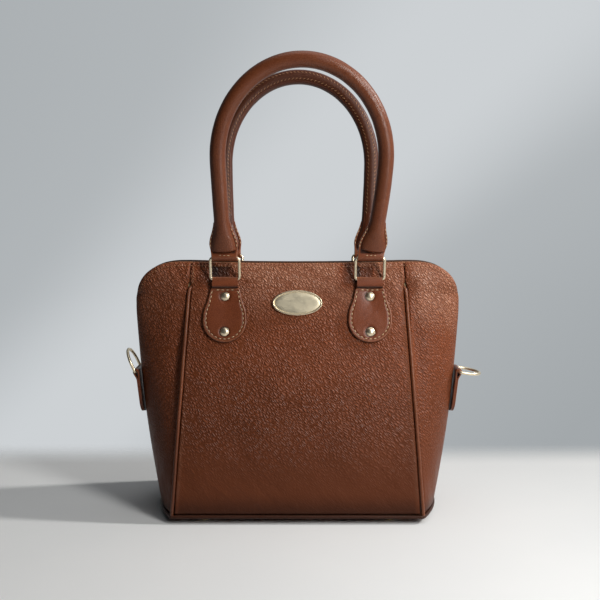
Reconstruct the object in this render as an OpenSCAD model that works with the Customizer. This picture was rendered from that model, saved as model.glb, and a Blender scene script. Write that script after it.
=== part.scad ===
// Top handle bag: a wedge shaped leather body that narrows from a flat base to a zipped mouth,
// with piped corner seams, two rolled handles on rectangular rings, riveted chapes, a ring on
// each side and four metal feet.
// The front faces -Y, the right side is +X, up is +Z, and the feet stand on z = 0.
// The origin is midway between the feet.

/* [Body] */
// Height of the top edge above the floor
body_h = 256; // [240:1:280]
// Width of the front panel along the base
base_w = 249; // [235:1:265]
// Depth of the body at the base
base_d = 130; // [118:1:142]
// Width of the front panel along the top edge
panel_top_w = 216; // [204:1:226]
// Depth of the mouth between the front and back edges
mouth_d = 22; // [21:1:26]
// Width over both sides at the base
side_base_w = 286; // [276:1:298]
// Width over both sides at the shoulders
shoulder_w = 334; // [322:1:346]
// Outward bow of the sides between base and shoulders
side_bow = 5; // [3:0.2:6]
// Length of each rounded shoulder, measured along the width
shoulder_len = 50; // [44:1:56]
// Height of each rounded shoulder
shoulder_h = 47; // [42:1:54]
// Crown of the front and back panels at half height
panel_crown = 3; // [1:0.5:5]
// Sag of the top edge at the middle of each panel
top_sag = 1.4; // [0.5:0.1:1.6]

/* [Layers] */
// Thickness of the outer leather
leather_t = 1.6; // [1.2:0.1:1.8]
// Thickness of the reinforcement board behind the front and back panels
board_t = 0.8; // [0.6:0.1:1]
// Thickness of the lining cloth
lining_t = 0.6; // [0.4:0.1:0.8]
// Thickness of the stiff board in the base
base_board_t = 3; // [2:0.5:4]
// Space left between neighbouring layers
layer_gap = 0.2; // [0.1:0.05:0.3]
// Diameter of the piping cord in the seams
piping_d = 3.6; // [3:0.1:4.2]
// Depth below the top edge at which the corner piping starts
piping_drop = 24.5; // [20:0.5:30]

/* [Mouth and zip] */
// Depth below the top edge at which the slot between the shoulder edges ends
slot_drop = 34; // [30:1:38]
// Depth of the leather strip that faces the inside of the mouth
facing_h = 13; // [11:1:16]
// Thickness of that strip
facing_t = 1.2; // [1:0.1:1.4]
// Depth of the zip below the top edge
zip_depth = 8; // [8:0.5:9]
// Length of the row of zip teeth
chain_l = 253; // [246:1:256]
// Length of tape past each end of the row of teeth
tape_end_l = 5; // [4:0.5:6]
// Width of both rows of closed teeth
chain_w = 6.2; // [5.6:0.1:6.4]
// Spacing of the zip teeth along one tape
tooth_pitch = 3; // [2.4:0.1:4]
// Thickness of the zip tape
tape_t = 0.7; // [0.5:0.1:0.8]
// Length of the zip slider
slider_l = 17; // [15:1:18]
// Length of the zip pull from its pin to its free end
pull_l = 32; // [24:1:36]

/* [Handles] */
// Diameter of the rolled handles
handle_d = 15.5; // [14:0.5:17]
// Thickness of the leather rolled round each handle's core
handle_leather_t = 1.2; // [1:0.1:1.5]
// Distance between the two ends of a handle, centre to centre
handle_span = 146; // [140:1:152]
// Greatest width of the front handle's arch, centre to centre
front_arch_w = 163.5; // [156:0.5:170]
// Greatest width of the back handle's arch, centre to centre
back_arch_w = 155.5; // [152:0.5:170]
// Height of the handle's centre above the ring bar that carries it
handle_drop = 191.5; // [170:0.5:210]
// Height of the widest place of the arch above that ring bar
arch_h = 99; // [90:1:108]
// Sideways sway of the front handle's arch
front_sway = 4.4; // [0:0.1:6]
// Sideways sway of the back handle's arch
back_sway = 0.8; // [0:0.1:6]
// Outward lean of the rings and handles at rest, in degrees
handle_lean = 9.5; // [8:0.5:12]

/* [Rings and chapes] */
// Width of the leather strap ends that the rings hold
strap_w = 24.6; // [22:0.2:25]
// Clear width inside a rectangular ring
ring_inner_w = 26; // [26:0.1:28]
// Height of a rectangular ring between the centres of its bars
ring_h = 22.2; // [20:0.2:26]
// Diameter of the ring wire
ring_wire_d = 3.1; // [2.8:0.1:3.4]
// Depth of the lower ring bar below the top edge
ring_bar_drop = 17.5; // [16:0.5:19]
// Radius of the round lower end of a chape
chape_r = 22.6; // [20:0.1:24]
// Distance from the ring bar to the centre of that round end
chape_drop = 42.5; // [40:0.5:46]
// Thickness of a chape
chape_t = 2.4; // [2:0.1:2.8]
// Diameter of the rivet heads
rivet_d = 8.8; // [7:0.1:10]
// Radial clearance of a leather loop round a ring bar
loop_clear = 0.08; // [0.05:0.01:0.1]

/* [Side rings] */
// Height of the side ring bars above the floor
side_ring_z = 142; // [134:1:150]
// Width of a side ring between the centres of its arms
side_ring_w = 31; // [30:0.5:34]
// Length of the straight part of a side ring's arms
side_ring_arm = 8; // [6:0.5:12]
// Width of the side tabs
side_tab_w = 25; // [22:0.5:25.5]
// Length of the side tabs below the ring bar
side_tab_l = 44; // [36:1:52]
// Thickness of the side tabs
side_tab_t = 3.4; // [3:0.1:4]
// How far the top of a side tab stands off the bag
side_tab_lift = 0.4; // [0.4:0.1:2]
// Angle of the left ring from upright, outwards, in degrees
left_ring_angle = 24; // [15:1:40]
// Angle of the right ring from upright, outwards, in degrees
right_ring_angle = 98; // [80:1:110]

/* [Badge] */
// Width of the oval badge
badge_w = 51; // [44:1:58]
// Height of the oval badge
badge_h = 26.5; // [22:0.5:30]
// Thickness of the badge plate
badge_t = 1.2; // [0.8:0.1:1.6]
// Depth of the badge's centre below the top edge
badge_drop = 41; // [36:1:50]

/* [Feet] */
// Height of the feet
foot_h = 5; // [4:0.5:6]
// Diameter of the feet
foot_d = 13; // [11:0.5:15]
// Distance of the feet from the ends of the front panel's base
foot_inset_x = 32; // [26:1:40]
// Distance of the feet from the front and back of the base
foot_inset_y = 13; // [11:1:20]

/* [Hidden] */

leather_color = "saddlebrown";
seam_color = "sienna";
metal_color = "darkkhaki";
cloth_color = "tan";
board_color = "dimgray";

$fn = 48;

// Overrun of every cut
cut = 1;
// How far a piece that only lies against another stays off it
seat_gap = 0.3;

// Powers and shares that bend the body's outline
depth_power = 1.25;
shoulder_power = 2.4;
bow_power = 0.9;
slot_power = 0.3;
wing_x_share = 0.93;
wing_y_share = 0.55;
inset_share = 0.6;

// Shares of the height at which the sheets of the body are measured, above their lower edge
height_shares = [0.08, 0.16, 0.25, 0.34, 0.43, 0.52, 0.61, 0.7, 0.78, 0.83, 0.87, 0.9,
    0.93, 0.955, 0.975, 0.99, 1];
// Shares of the width at which a panel is measured, from the left seam to the right one
panel_shares = [-1, -0.75, -0.5, -0.25, 0, 0.25, 0.5, 0.75, 1];
// Shares of the way from the corner seam to the side seam at which a wing is measured
wing_shares = [0, 0.12, 0.27, 0.42, 0.57, 0.72, 0.87, 1];

base_z = foot_h;
wall_h = body_h - base_z;
slot_end_z = body_h - slot_drop;
ring_bar_z = body_h - ring_bar_drop;
badge_z = body_h - badge_drop;
piping_top_z = body_h - piping_drop;
shoulder_z = body_h - shoulder_h;
piping_r = piping_d / 2;
// Half the width of the seam that the piping fills
seam_half = piping_r + layer_gap / 2;
flat_half = shoulder_w / 2 - shoulder_len;
// The leather walls start just above the piping round the base
low_share = (piping_d + layer_gap) / wall_h;
wall_shares = concat([low_share], height_shares);

// Half of the body's depth at a share of its height
function half_depth(t) = mouth_d / 2 + (base_d - mouth_d) / 2 * (1 - pow(t, depth_power));

// Half of the front panel's width at a share of the height
function panel_half(t) = (base_w + (panel_top_w - base_w) * t) / 2;

// Outward crown of a panel at a share of the height
function crown(t) = panel_crown * pow(sin(180 * t), 2);

// Share of the way from the base up to the shoulders at height z
function side_rise(z) = max(0, z - base_z) / (shoulder_z - base_z);

// Half of the width over the sides at height z
function side_half(z) =
    z <= shoulder_z
    ? (side_base_w + (shoulder_w - side_base_w) * side_rise(z)) / 2
        + side_bow * sin(180 * pow(side_rise(z), bow_power))
    : flat_half + shoulder_len
        * pow(max(0, 1 - pow((z - shoulder_z) / shoulder_h, shoulder_power)), 1 / shoulder_power);

// Half of the slot between the front and back edges at height z
function slot_half(z) =
    z <= slot_end_z ? 0
    : mouth_d / 2 * pow(min(1, (z - slot_end_z) / (body_h - slot_end_z)), slot_power);

function share_of(z) = (z - base_z) / wall_h;

// Half of the gap that panel and wing leave for the piping; above it they meet edge to edge
function seam_trim(t) = t > share_of(piping_top_z) ? layer_gap / 2 : seam_half;

// Height of a panel's surface at a share t of its height and a share s of its half width
function panel_z(t, s) = base_z + t * (wall_h - top_sag * (1 - s * s));

// A point of the front panel, set back by inset from its outer face and by trim from its seams
function panel_point(t, s, inset, trim) =
    [s * (panel_half(t) - trim), -half_depth(t) - crown(t) * (1 - s * s) + inset, panel_z(t, s)];

// A point of the right front wing at share u of the way to the side seam
function wing_point(t, u, inset, trim) =
    let (
        z = base_z + t * wall_h,
        slot = slot_half(z),
        slot_share = slot / (mouth_d / 2),
        corner = [panel_half(t) + trim, -half_depth(t)],
        side = [side_half(z), -slot],
        bend = [corner.x + (side.x - corner.x) * wing_x_share,
            side.y + (corner.y - side.y) * wing_y_share],
        a = corner + [0, inset],
        b = bend + inset * [-inset_share * (1 - slot_share), 1],
        c = side + inset * [slot_share - 1, slot_share],
        p = pow(1 - u, 2) * a + 2 * u * (1 - u) * b + u * u * c
    )
    [p.x, min(p.y, 0), z];

// A closed sheet between two grids of points, rows going up and columns to the right
module sheet(outer, inner) {
    rows = len(outer);
    cols = len(outer[0]);
    count = rows * cols;
    function id(g, r, c) = g * count + r * cols + c;
    function quad(a, b, c, d) = [[a, b, c], [a, c, d]];
    faces = [
        for (r = [0 : rows - 2]) for (c = [0 : cols - 2]) for (f = concat(
            quad(id(0, r, c), id(0, r + 1, c), id(0, r + 1, c + 1), id(0, r, c + 1)),
            quad(id(1, r, c), id(1, r, c + 1), id(1, r + 1, c + 1), id(1, r + 1, c)))) f,
        for (r = [0 : rows - 2]) for (f = concat(
            quad(id(1, r, 0), id(1, r + 1, 0), id(0, r + 1, 0), id(0, r, 0)),
            quad(id(0, r, cols - 1), id(0, r + 1, cols - 1),
                id(1, r + 1, cols - 1), id(1, r, cols - 1)))) f,
        for (c = [0 : cols - 2]) for (f = concat(
            quad(id(0, rows - 1, c), id(1, rows - 1, c),
                id(1, rows - 1, c + 1), id(0, rows - 1, c + 1)),
            quad(id(0, 0, c), id(0, 0, c + 1), id(1, 0, c + 1), id(1, 0, c)))) f
    ];
    polyhedron([for (grid = [outer, inner]) for (row = grid) for (p = row) p], faces);
}

function unit(v) = v / norm(v);

// Direction of a path at its point i
function heading(path, i, closed = false) =
    let (n = len(path))
    closed ? unit(path[(i + 1) % n] - path[(i + n - 1) % n])
    : unit(path[min(i + 1, n - 1)] - path[max(i - 1, 0)]);

// A ring of points round point p, square to direction t; ref is an axis that t never follows
function round_ring(p, t, ref, r, sides) =
    let (side = unit(cross(ref, t)), up = cross(t, side))
    [for (j = [0 : sides - 1]) p + r * (cos(360 * j / sides) * side + sin(360 * j / sides) * up)];

// The rings of a round cord along a path
function cord_rings(path, ref, r, sides, closed = false) =
    [for (i = [0 : len(path) - 1]) round_ring(path[i], heading(path, i, closed), ref, r, sides)];

// A solid through a list of rings, with flat ends unless it is closed
module loft(rings, closed = false) {
    n = len(rings);
    k = len(rings[0]);
    last = closed ? n - 1 : n - 2;
    sides = [
        for (i = [0 : last]) for (j = [0 : k - 1])
            let (a = i * k, b = ((i + 1) % n) * k, m = (j + 1) % k)
            for (f = [[a + j, b + j, b + m], [a + j, b + m, a + m]]) f
    ];
    ends = closed ? []
        : [[for (j = [0 : k - 1]) j], [for (j = [k - 1 : -1 : 0]) (n - 1) * k + j]];
    polyhedron([for (ring = rings) for (p = ring) p], concat(sides, ends));
}

// A tube with a wall through two lists of rings, one inside the other
module tube(outer, inner) {
    n = len(outer);
    k = len(outer[0]);
    count = n * k;
    faces = [
        for (i = [0 : n - 2]) for (j = [0 : k - 1])
            let (a = i * k, b = (i + 1) * k, m = (j + 1) % k)
            for (f = [[a + j, b + j, b + m], [a + j, b + m, a + m],
                [count + a + j, count + b + m, count + b + j],
                [count + a + j, count + a + m, count + b + m]]) f,
        for (j = [0 : k - 1])
            let (m = (j + 1) % k, e = (n - 1) * k)
            for (f = [[j, m, count + m], [j, count + m, count + j],
                [e + j, count + e + j, count + e + m], [e + j, count + e + m, e + m]]) f
    ];
    polyhedron([for (grid = [outer, inner]) for (ring = grid) for (p = ring) p], faces);
}

// Panels and wings

function panel_grid(shares, inset, extra_trim) =
    [for (t = shares)
        [for (s = panel_shares) panel_point(t, s, inset, seam_trim(t) + extra_trim)]];

function wing_grid(inset) =
    [for (t = wall_shares) [for (u = wing_shares) wing_point(t, u, inset, seam_trim(t))]];

module panel() {
    difference() {
        sheet(panel_grid(wall_shares, 0, 0), panel_grid(wall_shares, leather_t, 0));
        rivet_holes();
    }
}

module wing() {
    sheet(wing_grid(0), wing_grid(leather_t));
}

module front_panel() color(leather_color) difference() {
    panel();
    badge_holes();
}
module back_panel() color(leather_color) mirror([0, 1, 0]) panel();
module wing_front_right() color(leather_color) wing();
module wing_front_left() color(leather_color) mirror([1, 0, 0]) wing();
module wing_back_right() color(leather_color) mirror([0, 1, 0]) wing();
module wing_back_left() color(leather_color) mirror([1, 0, 0]) mirror([0, 1, 0]) wing();

// Reinforcement boards behind the front and back panels, inside the seams

board_inset = leather_t + layer_gap;
board_trim = 3 * leather_t;
board_shares = [for (t = height_shares) if (t < share_of(ring_bar_z + ring_bar_drop / 2)) t];

module panel_board() {
    difference() {
        sheet(panel_grid(board_shares, board_inset, board_trim),
            panel_grid(board_shares, board_inset + board_t, board_trim));
        rivet_holes();
    }
}

module front_board() color(board_color) difference() {
    panel_board();
    badge_holes();
}
module back_board() color(board_color) mirror([0, 1, 0]) panel_board();

// Lining

lining_inset = board_inset + board_t + 2 * layer_gap;
// How far below the top edge the lining ends, just under the facing strip
lining_drop = facing_h + seat_gap;
// Heights of the layers in the base; the nuts of the feet stand between board and lining
board_z = base_z + leather_t + layer_gap;
nut_z = board_z + base_board_t + layer_gap;
foot_nut_h = 1.4;
floor_z = nut_z + foot_nut_h;
lining_low_share = (floor_z + lining_t + layer_gap - base_z) / (wall_h - lining_drop);
lining_shares = [0.16, 0.28, 0.4, 0.52, 0.64, 0.74, 0.82, 0.88, 0.92, 1];

// The lining's wing follows the leather wing, but stays below the facing strip
function lining_wing_point(t, u, inset) =
    let (
        z = base_z + t * (wall_h - lining_drop),
        share = share_of(z),
        slot = slot_half(z + lining_drop),
        wing_slot = slot_half(z),
        corner = [panel_half(share), -half_depth(share)],
        side = [min(side_half(z), side_half(z + lining_drop)), -slot],
        bend = [corner.x + (side.x - corner.x) * wing_x_share,
            -wing_slot + (corner.y + wing_slot) * wing_y_share],
        a = corner + inset * [-inset_share, 1],
        b = bend + inset * [-inset_share, 1],
        c = [side.x - inset, min(0, side.y + inset - lining_t)],
        p = pow(1 - u, 2) * a + 2 * u * (1 - u) * b + u * u * c
    )
    [p.x, min(p.y, 0), z];

// The lining's front follows the panel, row by row
function lining_panel_point(t, s, inset) =
    panel_point(t * (1 - lining_drop / wall_h), s, inset, inset * inset_share);

function mirrored_x(p) = [-p.x, p.y, p.z];

function lining_row(t, inset) = concat(
    [for (i = [len(wing_shares) - 1 : -1 : 1])
        mirrored_x(lining_wing_point(t, wing_shares[i], inset))],
    [for (s = panel_shares) lining_panel_point(t, s, inset)],
    [for (i = [1 : len(wing_shares) - 1]) lining_wing_point(t, wing_shares[i], inset)]);

module lining_half() {
    difference() {
        sheet(
            [for (t = concat([lining_low_share], lining_shares)) lining_row(t, lining_inset)],
            [for (t = concat([lining_low_share], lining_shares))
                lining_row(t, lining_inset + lining_t)]);
        rivet_holes();
    }
}

module lining_front() color(cloth_color) difference() {
    lining_half();
    badge_holes();
}
module lining_back() color(cloth_color) mirror([0, 1, 0]) lining_half();

// Outline of the body at a share of the height, as points of the whole loop, set in by inset
function quarter_outline(t, inset) =
    [for (u = wing_shares) let (p = wing_point(t, u, inset, 0)) [p.x - inset * (1 - u), p.y]];

function body_outline(t, inset) =
    let (q = quarter_outline(t, inset), n = len(q))
    concat(
        [for (i = [0 : n - 1]) q[i]],
        [for (i = [n - 2 : -1 : 0]) [q[i].x, -q[i].y]],
        [for (i = [0 : n - 1]) [-q[i].x, -q[i].y]],
        [for (i = [n - 2 : -1 : 0]) [-q[i].x, q[i].y]]);

// Base

foot_x = base_w / 2 - foot_inset_x;
foot_y = base_d / 2 - foot_inset_y;
foot_post_d = foot_d / 3;

module at_feet() {
    for (sx = [-1, 1])
        for (sy = [-1, 1])
            translate([sx * foot_x, sy * foot_y, 0])
                children();
}

module foot_holes() {
    at_feet() cylinder(h = nut_z, d = foot_post_d + 2 * loop_clear);
}

module base_panel() color(leather_color) difference() {
    translate([0, 0, base_z])
        linear_extrude(leather_t)
            polygon(body_outline(0, seam_half));
    foot_holes();
}

module base_board() color(board_color) difference() {
    translate([0, 0, board_z])
        linear_extrude(base_board_t)
            polygon(body_outline(0, piping_r + leather_t + layer_gap));
    foot_holes();
}

module lining_base() color(cloth_color)
    translate([0, 0, floor_z])
        linear_extrude(lining_t)
            polygon(body_outline(lining_low_share, lining_inset + lining_t + layer_gap));

// Each foot is a turned stud with a flat tread and a post through the base
foot_tread_share = 0.62;
foot_nut_d = 2 * foot_post_d;

module feet() color(metal_color) at_feet() rotate_extrude()
    polygon([
        [0, 0],
        [foot_tread_share * foot_d / 2, 0],
        [foot_d / 2, foot_h / 2],
        [foot_d / 2, foot_h - layer_gap],
        [foot_post_d / 2, foot_h - layer_gap],
        [foot_post_d / 2, floor_z - layer_gap],
        [0, floor_z - layer_gap]
    ]);

module foot_nuts() color(metal_color) at_feet() difference() {
    translate([0, 0, nut_z])
        cylinder(h = foot_nut_h - layer_gap, d = foot_nut_d);
    cylinder(h = floor_z + cut, d = foot_post_d + 2 * loop_clear);
}

// Slip pocket sewn to the back lining, open along its upper edge
pocket_w_share = 0.62;
pocket_shares = [0.34, 0.42, 0.5, 0.58, 0.66];

function pocket_point(t, s, inset) =
    let (z = base_z + t * wall_h)
    [s * pocket_w_share * panel_half(t), -half_depth(t) - crown(t) * (1 - s * s) + inset, z];

module inner_pocket() color(cloth_color) mirror([0, 1, 0]) {
    inset = lining_inset + lining_t + seat_gap + layer_gap;
    sheet(
        [for (t = pocket_shares) [for (s = panel_shares) pocket_point(t, s, inset)]],
        [for (t = pocket_shares)
            [for (s = panel_shares) pocket_point(t, s, inset + lining_t)]]);
}

// Piping in the corner seams and round the base

piping_sides = 8;
piping_stations = 14;

function corner_seam(z) =
    let (t = share_of(z)) [panel_half(t), -half_depth(t) + piping_r / 4, z];

module corner_piping() {
    low = base_z + piping_d + layer_gap;
    path = [for (i = [0 : piping_stations])
        corner_seam(low + (piping_top_z - low) * i / piping_stations)];
    loft(cord_rings(path, [0, 1, 0], piping_r, piping_sides));
}

module piping_front_right() color(seam_color) corner_piping();
module piping_front_left() color(seam_color) mirror([1, 0, 0]) corner_piping();
module piping_back_right() color(seam_color) mirror([0, 1, 0]) corner_piping();
module piping_back_left() color(seam_color) mirror([1, 0, 0]) mirror([0, 1, 0]) corner_piping();

module base_piping() color(seam_color) {
    loop = body_outline(0, 0);
    n = len(loop);
    // The loop's turns fall together where its quarters meet, so those points are left out
    path = [for (i = [0 : n - 1]) if (norm(loop[i] - loop[(i + 1) % n]) > piping_r)
        [loop[i].x, loop[i].y, base_z + piping_r]];
    loft(cord_rings(path, [0, 0, 1], piping_r, piping_sides, true), true);
}

// Mouth: the edge runs level between the shoulders and then down round them

// Shares of a quarter turn at which a shoulder's edge is measured
shoulder_shares = [0, 0.1, 0.2, 0.3, 0.42, 0.54, 0.66, 0.76];

function shoulder_edge(turn) =
    let (
        across = pow(sin(90 * turn), 2 / shoulder_power),
        down = pow(cos(90 * turn), 2 / shoulder_power)
    )
    [flat_half + shoulder_len * across, 0, shoulder_z + shoulder_h * down];

mouth_edge = concat(
    [for (i = [len(shoulder_shares) - 1 : -1 : 0]) mirrored_x(shoulder_edge(shoulder_shares[i]))],
    [for (turn = shoulder_shares) shoulder_edge(turn)]);

// A strip along part of the mouth's edge, between two depths below the edge, from clear0 to
// clear1 behind the outer face of the front; without clear1 it crosses the slot
module edge_strip(path, depth0, depth1, clear0, clear1) {
    loft([for (i = [0 : len(path) - 1])
        let (
            p = path[i],
            t = heading(path, i),
            down = [t.z, 0, -t.x],
            slot = slot_half(p.z),
            y0 = clear0 - slot,
            y1 = is_undef(clear1) ? -y0 : clear1 - slot
        )
        [p + depth0 * down + [0, y0, 0], p + depth1 * down + [0, y0, 0],
            p + depth1 * down + [0, y1, 0], p + depth0 * down + [0, y1, 0]]]);
}

facing_off = leather_t + layer_gap;
facing_top = top_sag + leather_t / 2;

module zip_facing() edge_strip(mouth_edge, facing_top, facing_h, facing_off, facing_off + facing_t);

module zip_facing_front() color(leather_color) zip_facing();
module zip_facing_back() color(leather_color) mirror([0, 1, 0]) zip_facing();

// Zip tapes and the leather tabs past them, which close the slot over the shoulders
zip_z = body_h - zip_depth;
tape_half_l = chain_l / 2 + tape_end_l;
tape_edge = mouth_d / 2 - facing_off - facing_t - layer_gap;
zip_end_t = 1.6;
zip_end_share = 0.18;
zip_end_path = concat([shoulder_edge(zip_end_share)],
    [for (turn = shoulder_shares) if (turn > zip_end_share) shoulder_edge(turn)]);

module zip_end() edge_strip(zip_end_path, zip_depth - zip_end_t / 2, zip_depth + zip_end_t / 2,
    facing_off + facing_t + layer_gap);

module zip_tape() translate([-tape_half_l, -tape_edge, zip_z - tape_t / 2])
    cube([2 * tape_half_l, tape_edge - tooth_half - layer_gap / 2, tape_t]);

module zip_tape_front() color(seam_color) zip_tape();
module zip_tape_back() color(seam_color) mirror([0, 1, 0]) zip_tape();

module zip_end_right() color(leather_color) zip_end();
module zip_end_left() color(leather_color) mirror([1, 0, 0]) zip_end();

// Teeth, stops, slider and pull

tooth_half = chain_w / 2;
tooth_h = 2.6;
tooth_l_share = 0.55;
cord_share = 0.7;

// One row of teeth on its cord; the two rows lie half a pitch apart
module zip_teeth(shift) {
    last = floor(chain_l / tooth_pitch) - 1;
    cord_w = cord_share * tooth_half;
    translate([-chain_l / 2, -tooth_half, zip_z - tooth_h / 4])
        cube([chain_l, cord_w, tooth_h / 2]);
    for (i = [0 : last])
        translate([-chain_l / 2 + i * tooth_pitch + shift, -tooth_half + layer_gap,
            zip_z - tooth_h / 2])
            cube([tooth_l_share * tooth_pitch, tooth_half - 2 * layer_gap, tooth_h]);
}

module zip_teeth_front() color(metal_color) zip_teeth(0);
module zip_teeth_back() color(metal_color)
    mirror([0, 1, 0]) zip_teeth((1 - tooth_l_share) * tooth_pitch);

// The stops are clamped on the tapes past both ends of the row of teeth
stop_l = 2;

module zip_stops() color(metal_color) {
    for (sy = [-1, 1])
        translate([chain_l / 2 + 2 * stop_l, sy * (tooth_half - stop_l / 2), zip_z])
            cube([stop_l, stop_l, tooth_h], center = true);
    translate([-chain_l / 2 - stop_l, 0, zip_z])
        cube([stop_l, chain_w, tooth_h], center = true);
}

slider_clear = 0.35;
slider_plate = 1.2;
slider_w = chain_w + 4 * slider_plate;
slider_x = chain_l / 2 - slider_l / 4;
slider_half_h = tooth_h / 2 + slider_clear + slider_plate;
slider_top_z = zip_z + slider_half_h;
lug_t = 1;
pin_r = 0.7;
eye_r = 1.7;
eye_w = 4.8;
pin_z = slider_top_z + eye_r + layer_gap;
divider_l = slider_l / 6;

module zip_slider() color(metal_color) translate([slider_x, 0, 0]) {
    difference() {
        translate([0, 0, zip_z])
            cube([slider_l, slider_w, 2 * slider_half_h], center = true);
        // Channel for the teeth and a slot on each side for the tapes
        translate([0, 0, zip_z])
            cube([slider_l + cut, chain_w + 2 * slider_clear, tooth_h + 2 * slider_clear],
                center = true);
        translate([0, 0, zip_z])
            cube([slider_l + cut, slider_w + cut, tape_t + 2 * slider_clear], center = true);
    }
    // Divider that parts the two rows, past the last tooth
    translate([slider_l / 2 - divider_l, -tooth_half / 4, zip_z - slider_half_h + slider_plate / 2])
        cube([divider_l, tooth_half / 2, 2 * slider_half_h - slider_plate]);
    // Lugs and pin that hold the pull
    for (sy = [-1, 1])
        translate([0, sy * (eye_w + lug_t + 2 * layer_gap) / 2, pin_z])
            cube([2 * eye_r, lug_t, 2 * (pin_z - slider_top_z)], center = true);
    translate([0, 0, pin_z])
        rotate([90, 0, 0])
            cylinder(h = eye_w + 2 * (layer_gap + lug_t), r = pin_r, center = true);
}

pull_w = 7.6;
pull_t = 1.4;
pull_neck_share = 0.22;

module zip_pull() color(metal_color) translate([slider_x, 0, pin_z]) difference() {
    union() {
        rotate([90, 0, 0])
            cylinder(h = eye_w, r = eye_r, center = true);
        translate([0, 0, -pull_t / 2])
            linear_extrude(pull_t)
                polygon([
                    [0, -eye_w / 2],
                    [-pull_neck_share * pull_l, -eye_w / 2],
                    [-2 * pull_neck_share * pull_l, -pull_w / 2],
                    [-pull_l + pull_w / 4, -pull_w / 2],
                    [-pull_l, -pull_w / 4],
                    [-pull_l, pull_w / 4],
                    [-pull_l + pull_w / 4, pull_w / 2],
                    [-2 * pull_neck_share * pull_l, pull_w / 2],
                    [-pull_neck_share * pull_l, eye_w / 2],
                    [0, eye_w / 2]
                ]);
    }
    rotate([90, 0, 0])
        cylinder(h = eye_w + cut, r = pin_r + loop_clear, center = true);
}

// Chapes, rivets and rings

wire_r = ring_wire_d / 2;
loop_leather_t = 1.5;
loop_r = wire_r + loop_clear + loop_leather_t;
ring_x = handle_span / 2;
bar_share = share_of(ring_bar_z);
chape_end_share = share_of(ring_bar_z - chape_drop - chape_r);

// How far the panel stands out at distance x from its middle
function panel_out(share, x) =
    half_depth(share) + crown(share) * (1 - pow(x / panel_half(share), 2));

// Slope of the panel under the chape, as the angle from upright, where the panel is fullest
chape_foot_out = panel_out(chape_end_share, ring_x - chape_r);
chape_top_out = panel_out(bar_share, ring_x - chape_r);
chape_tilt = atan((chape_foot_out - chape_top_out) / ((bar_share - chape_end_share) * wall_h));
// How much less the panel stands out under the middle of the chape's round end
chape_slack = chape_foot_out - panel_out(chape_end_share, ring_x);
// Distance of the ring bar in front of the middle of the body
bar_y = chape_top_out + (loop_r + seat_gap) / cos(chape_tilt);

// Length of strap between the loop and the chape's neck or the handle's flare
strap_l = 5;
neck_start = loop_r + strap_l;
// Shares of the neck's length and of the round end's radius along the neck's outline
neck_shares = [[0, 0.645], [0.2, 0.74], [0.55, 0.875], [0.85, 0.975]];
rivet_drops = [18, 54];
rivet_post_r = 1.3;
rivet_head_h = 2.2;
rivet_depth = chape_t + seat_gap + chape_slack + lining_inset + lining_t + layer_gap;

// Places its children with the ring bar along X at the origin and the panel's slope upright
module at_chape(side) {
    translate([side * ring_x, -bar_y, ring_bar_z])
        rotate([-chape_tilt, 0, 0])
            children();
}

module neck_outline() {
    neck_l = chape_drop - neck_start;
    polygon(concat(
        [for (p = neck_shares) [p[1] * chape_r, -neck_start - p[0] * neck_l]],
        [[chape_r, -chape_drop], [-chape_r, -chape_drop]],
        [for (i = [len(neck_shares) - 1 : -1 : 0])
            [-neck_shares[i][1] * chape_r, -neck_start - neck_shares[i][0] * neck_l]]));
}

module chape(side) {
    at_chape(side) difference() {
        union() {
            translate([0, loop_r, 0])
                rotate([90, 0, 0])
                    linear_extrude(chape_t) {
                        translate([0, -chape_drop])
                            circle(r = chape_r);
                        neck_outline();
                        translate([-strap_w / 2, -neck_start - loop_r])
                            square([strap_w, neck_start + loop_r]);
                    }
            wire_bar(strap_w, loop_r);
            // The strap's outer layer comes down from the loop to the chape's face
            translate([-strap_w / 2, -loop_r, -neck_start])
                cube([strap_w, 2 * loop_r - chape_t / 2, neck_start]);
        }
        wire_bar(strap_w + cut, wire_r + loop_clear);
        for (drop = rivet_drops)
            translate([0, 0, -drop])
                rotate([90, 0, 0])
                    cylinder(h = 4 * loop_r, r = rivet_post_r + loop_clear, center = true);
    }
}

module rivet_holes() {
    for (side = [-1, 1])
        at_chape(side)
            for (drop = rivet_drops)
                translate([0, loop_r + rivet_depth + cut, -drop])
                    rotate([90, 0, 0])
                        cylinder(h = rivet_depth + 2 * cut, r = rivet_post_r + loop_clear);
}

// A rivet has a domed head on the chape, a post through all layers and a cap inside
module rivets() {
    face_y = loop_r - chape_t;
    inner_y = loop_r + rivet_depth - chape_t;
    for (side = [-1, 1])
        at_chape(side)
            for (drop = rivet_drops)
                translate([0, face_y, -drop])
                    rotate([90, 0, 0]) {
                        rotate_extrude()
                            polygon(concat(
                                [[0, 0]],
                                [for (a = [0 : 15 : 90])
                                    [rivet_d / 2 * cos(a), rivet_head_h * sin(a)]]));
                        translate([0, 0, face_y - inner_y])
                            cylinder(h = inner_y - face_y, r = rivet_post_r);
                        translate([0, 0, face_y - inner_y - rivet_head_h / 2])
                            cylinder(h = rivet_head_h / 2, r = rivet_d / 2);
                    }
}

module chape_front_left() color(leather_color) chape(-1);
module chape_front_right() color(leather_color) chape(1);
module chape_back_left() color(leather_color) mirror([0, 1, 0]) chape(-1);
module chape_back_right() color(leather_color) mirror([0, 1, 0]) chape(1);
module rivets_front() color(metal_color) rivets();
module rivets_back() color(metal_color) mirror([0, 1, 0]) rivets();

ring_w = ring_inner_w + ring_wire_d;
ring_corner_r = 2.5;

module wire_bar(l, r) rotate([0, 90, 0]) cylinder(h = l, r = r, center = true);

module wire_corner(r, bend_r)
    rotate([90, 0, 0])
        rotate_extrude(angle = 90)
            translate([bend_r, 0])
                circle(r = r);

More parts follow.
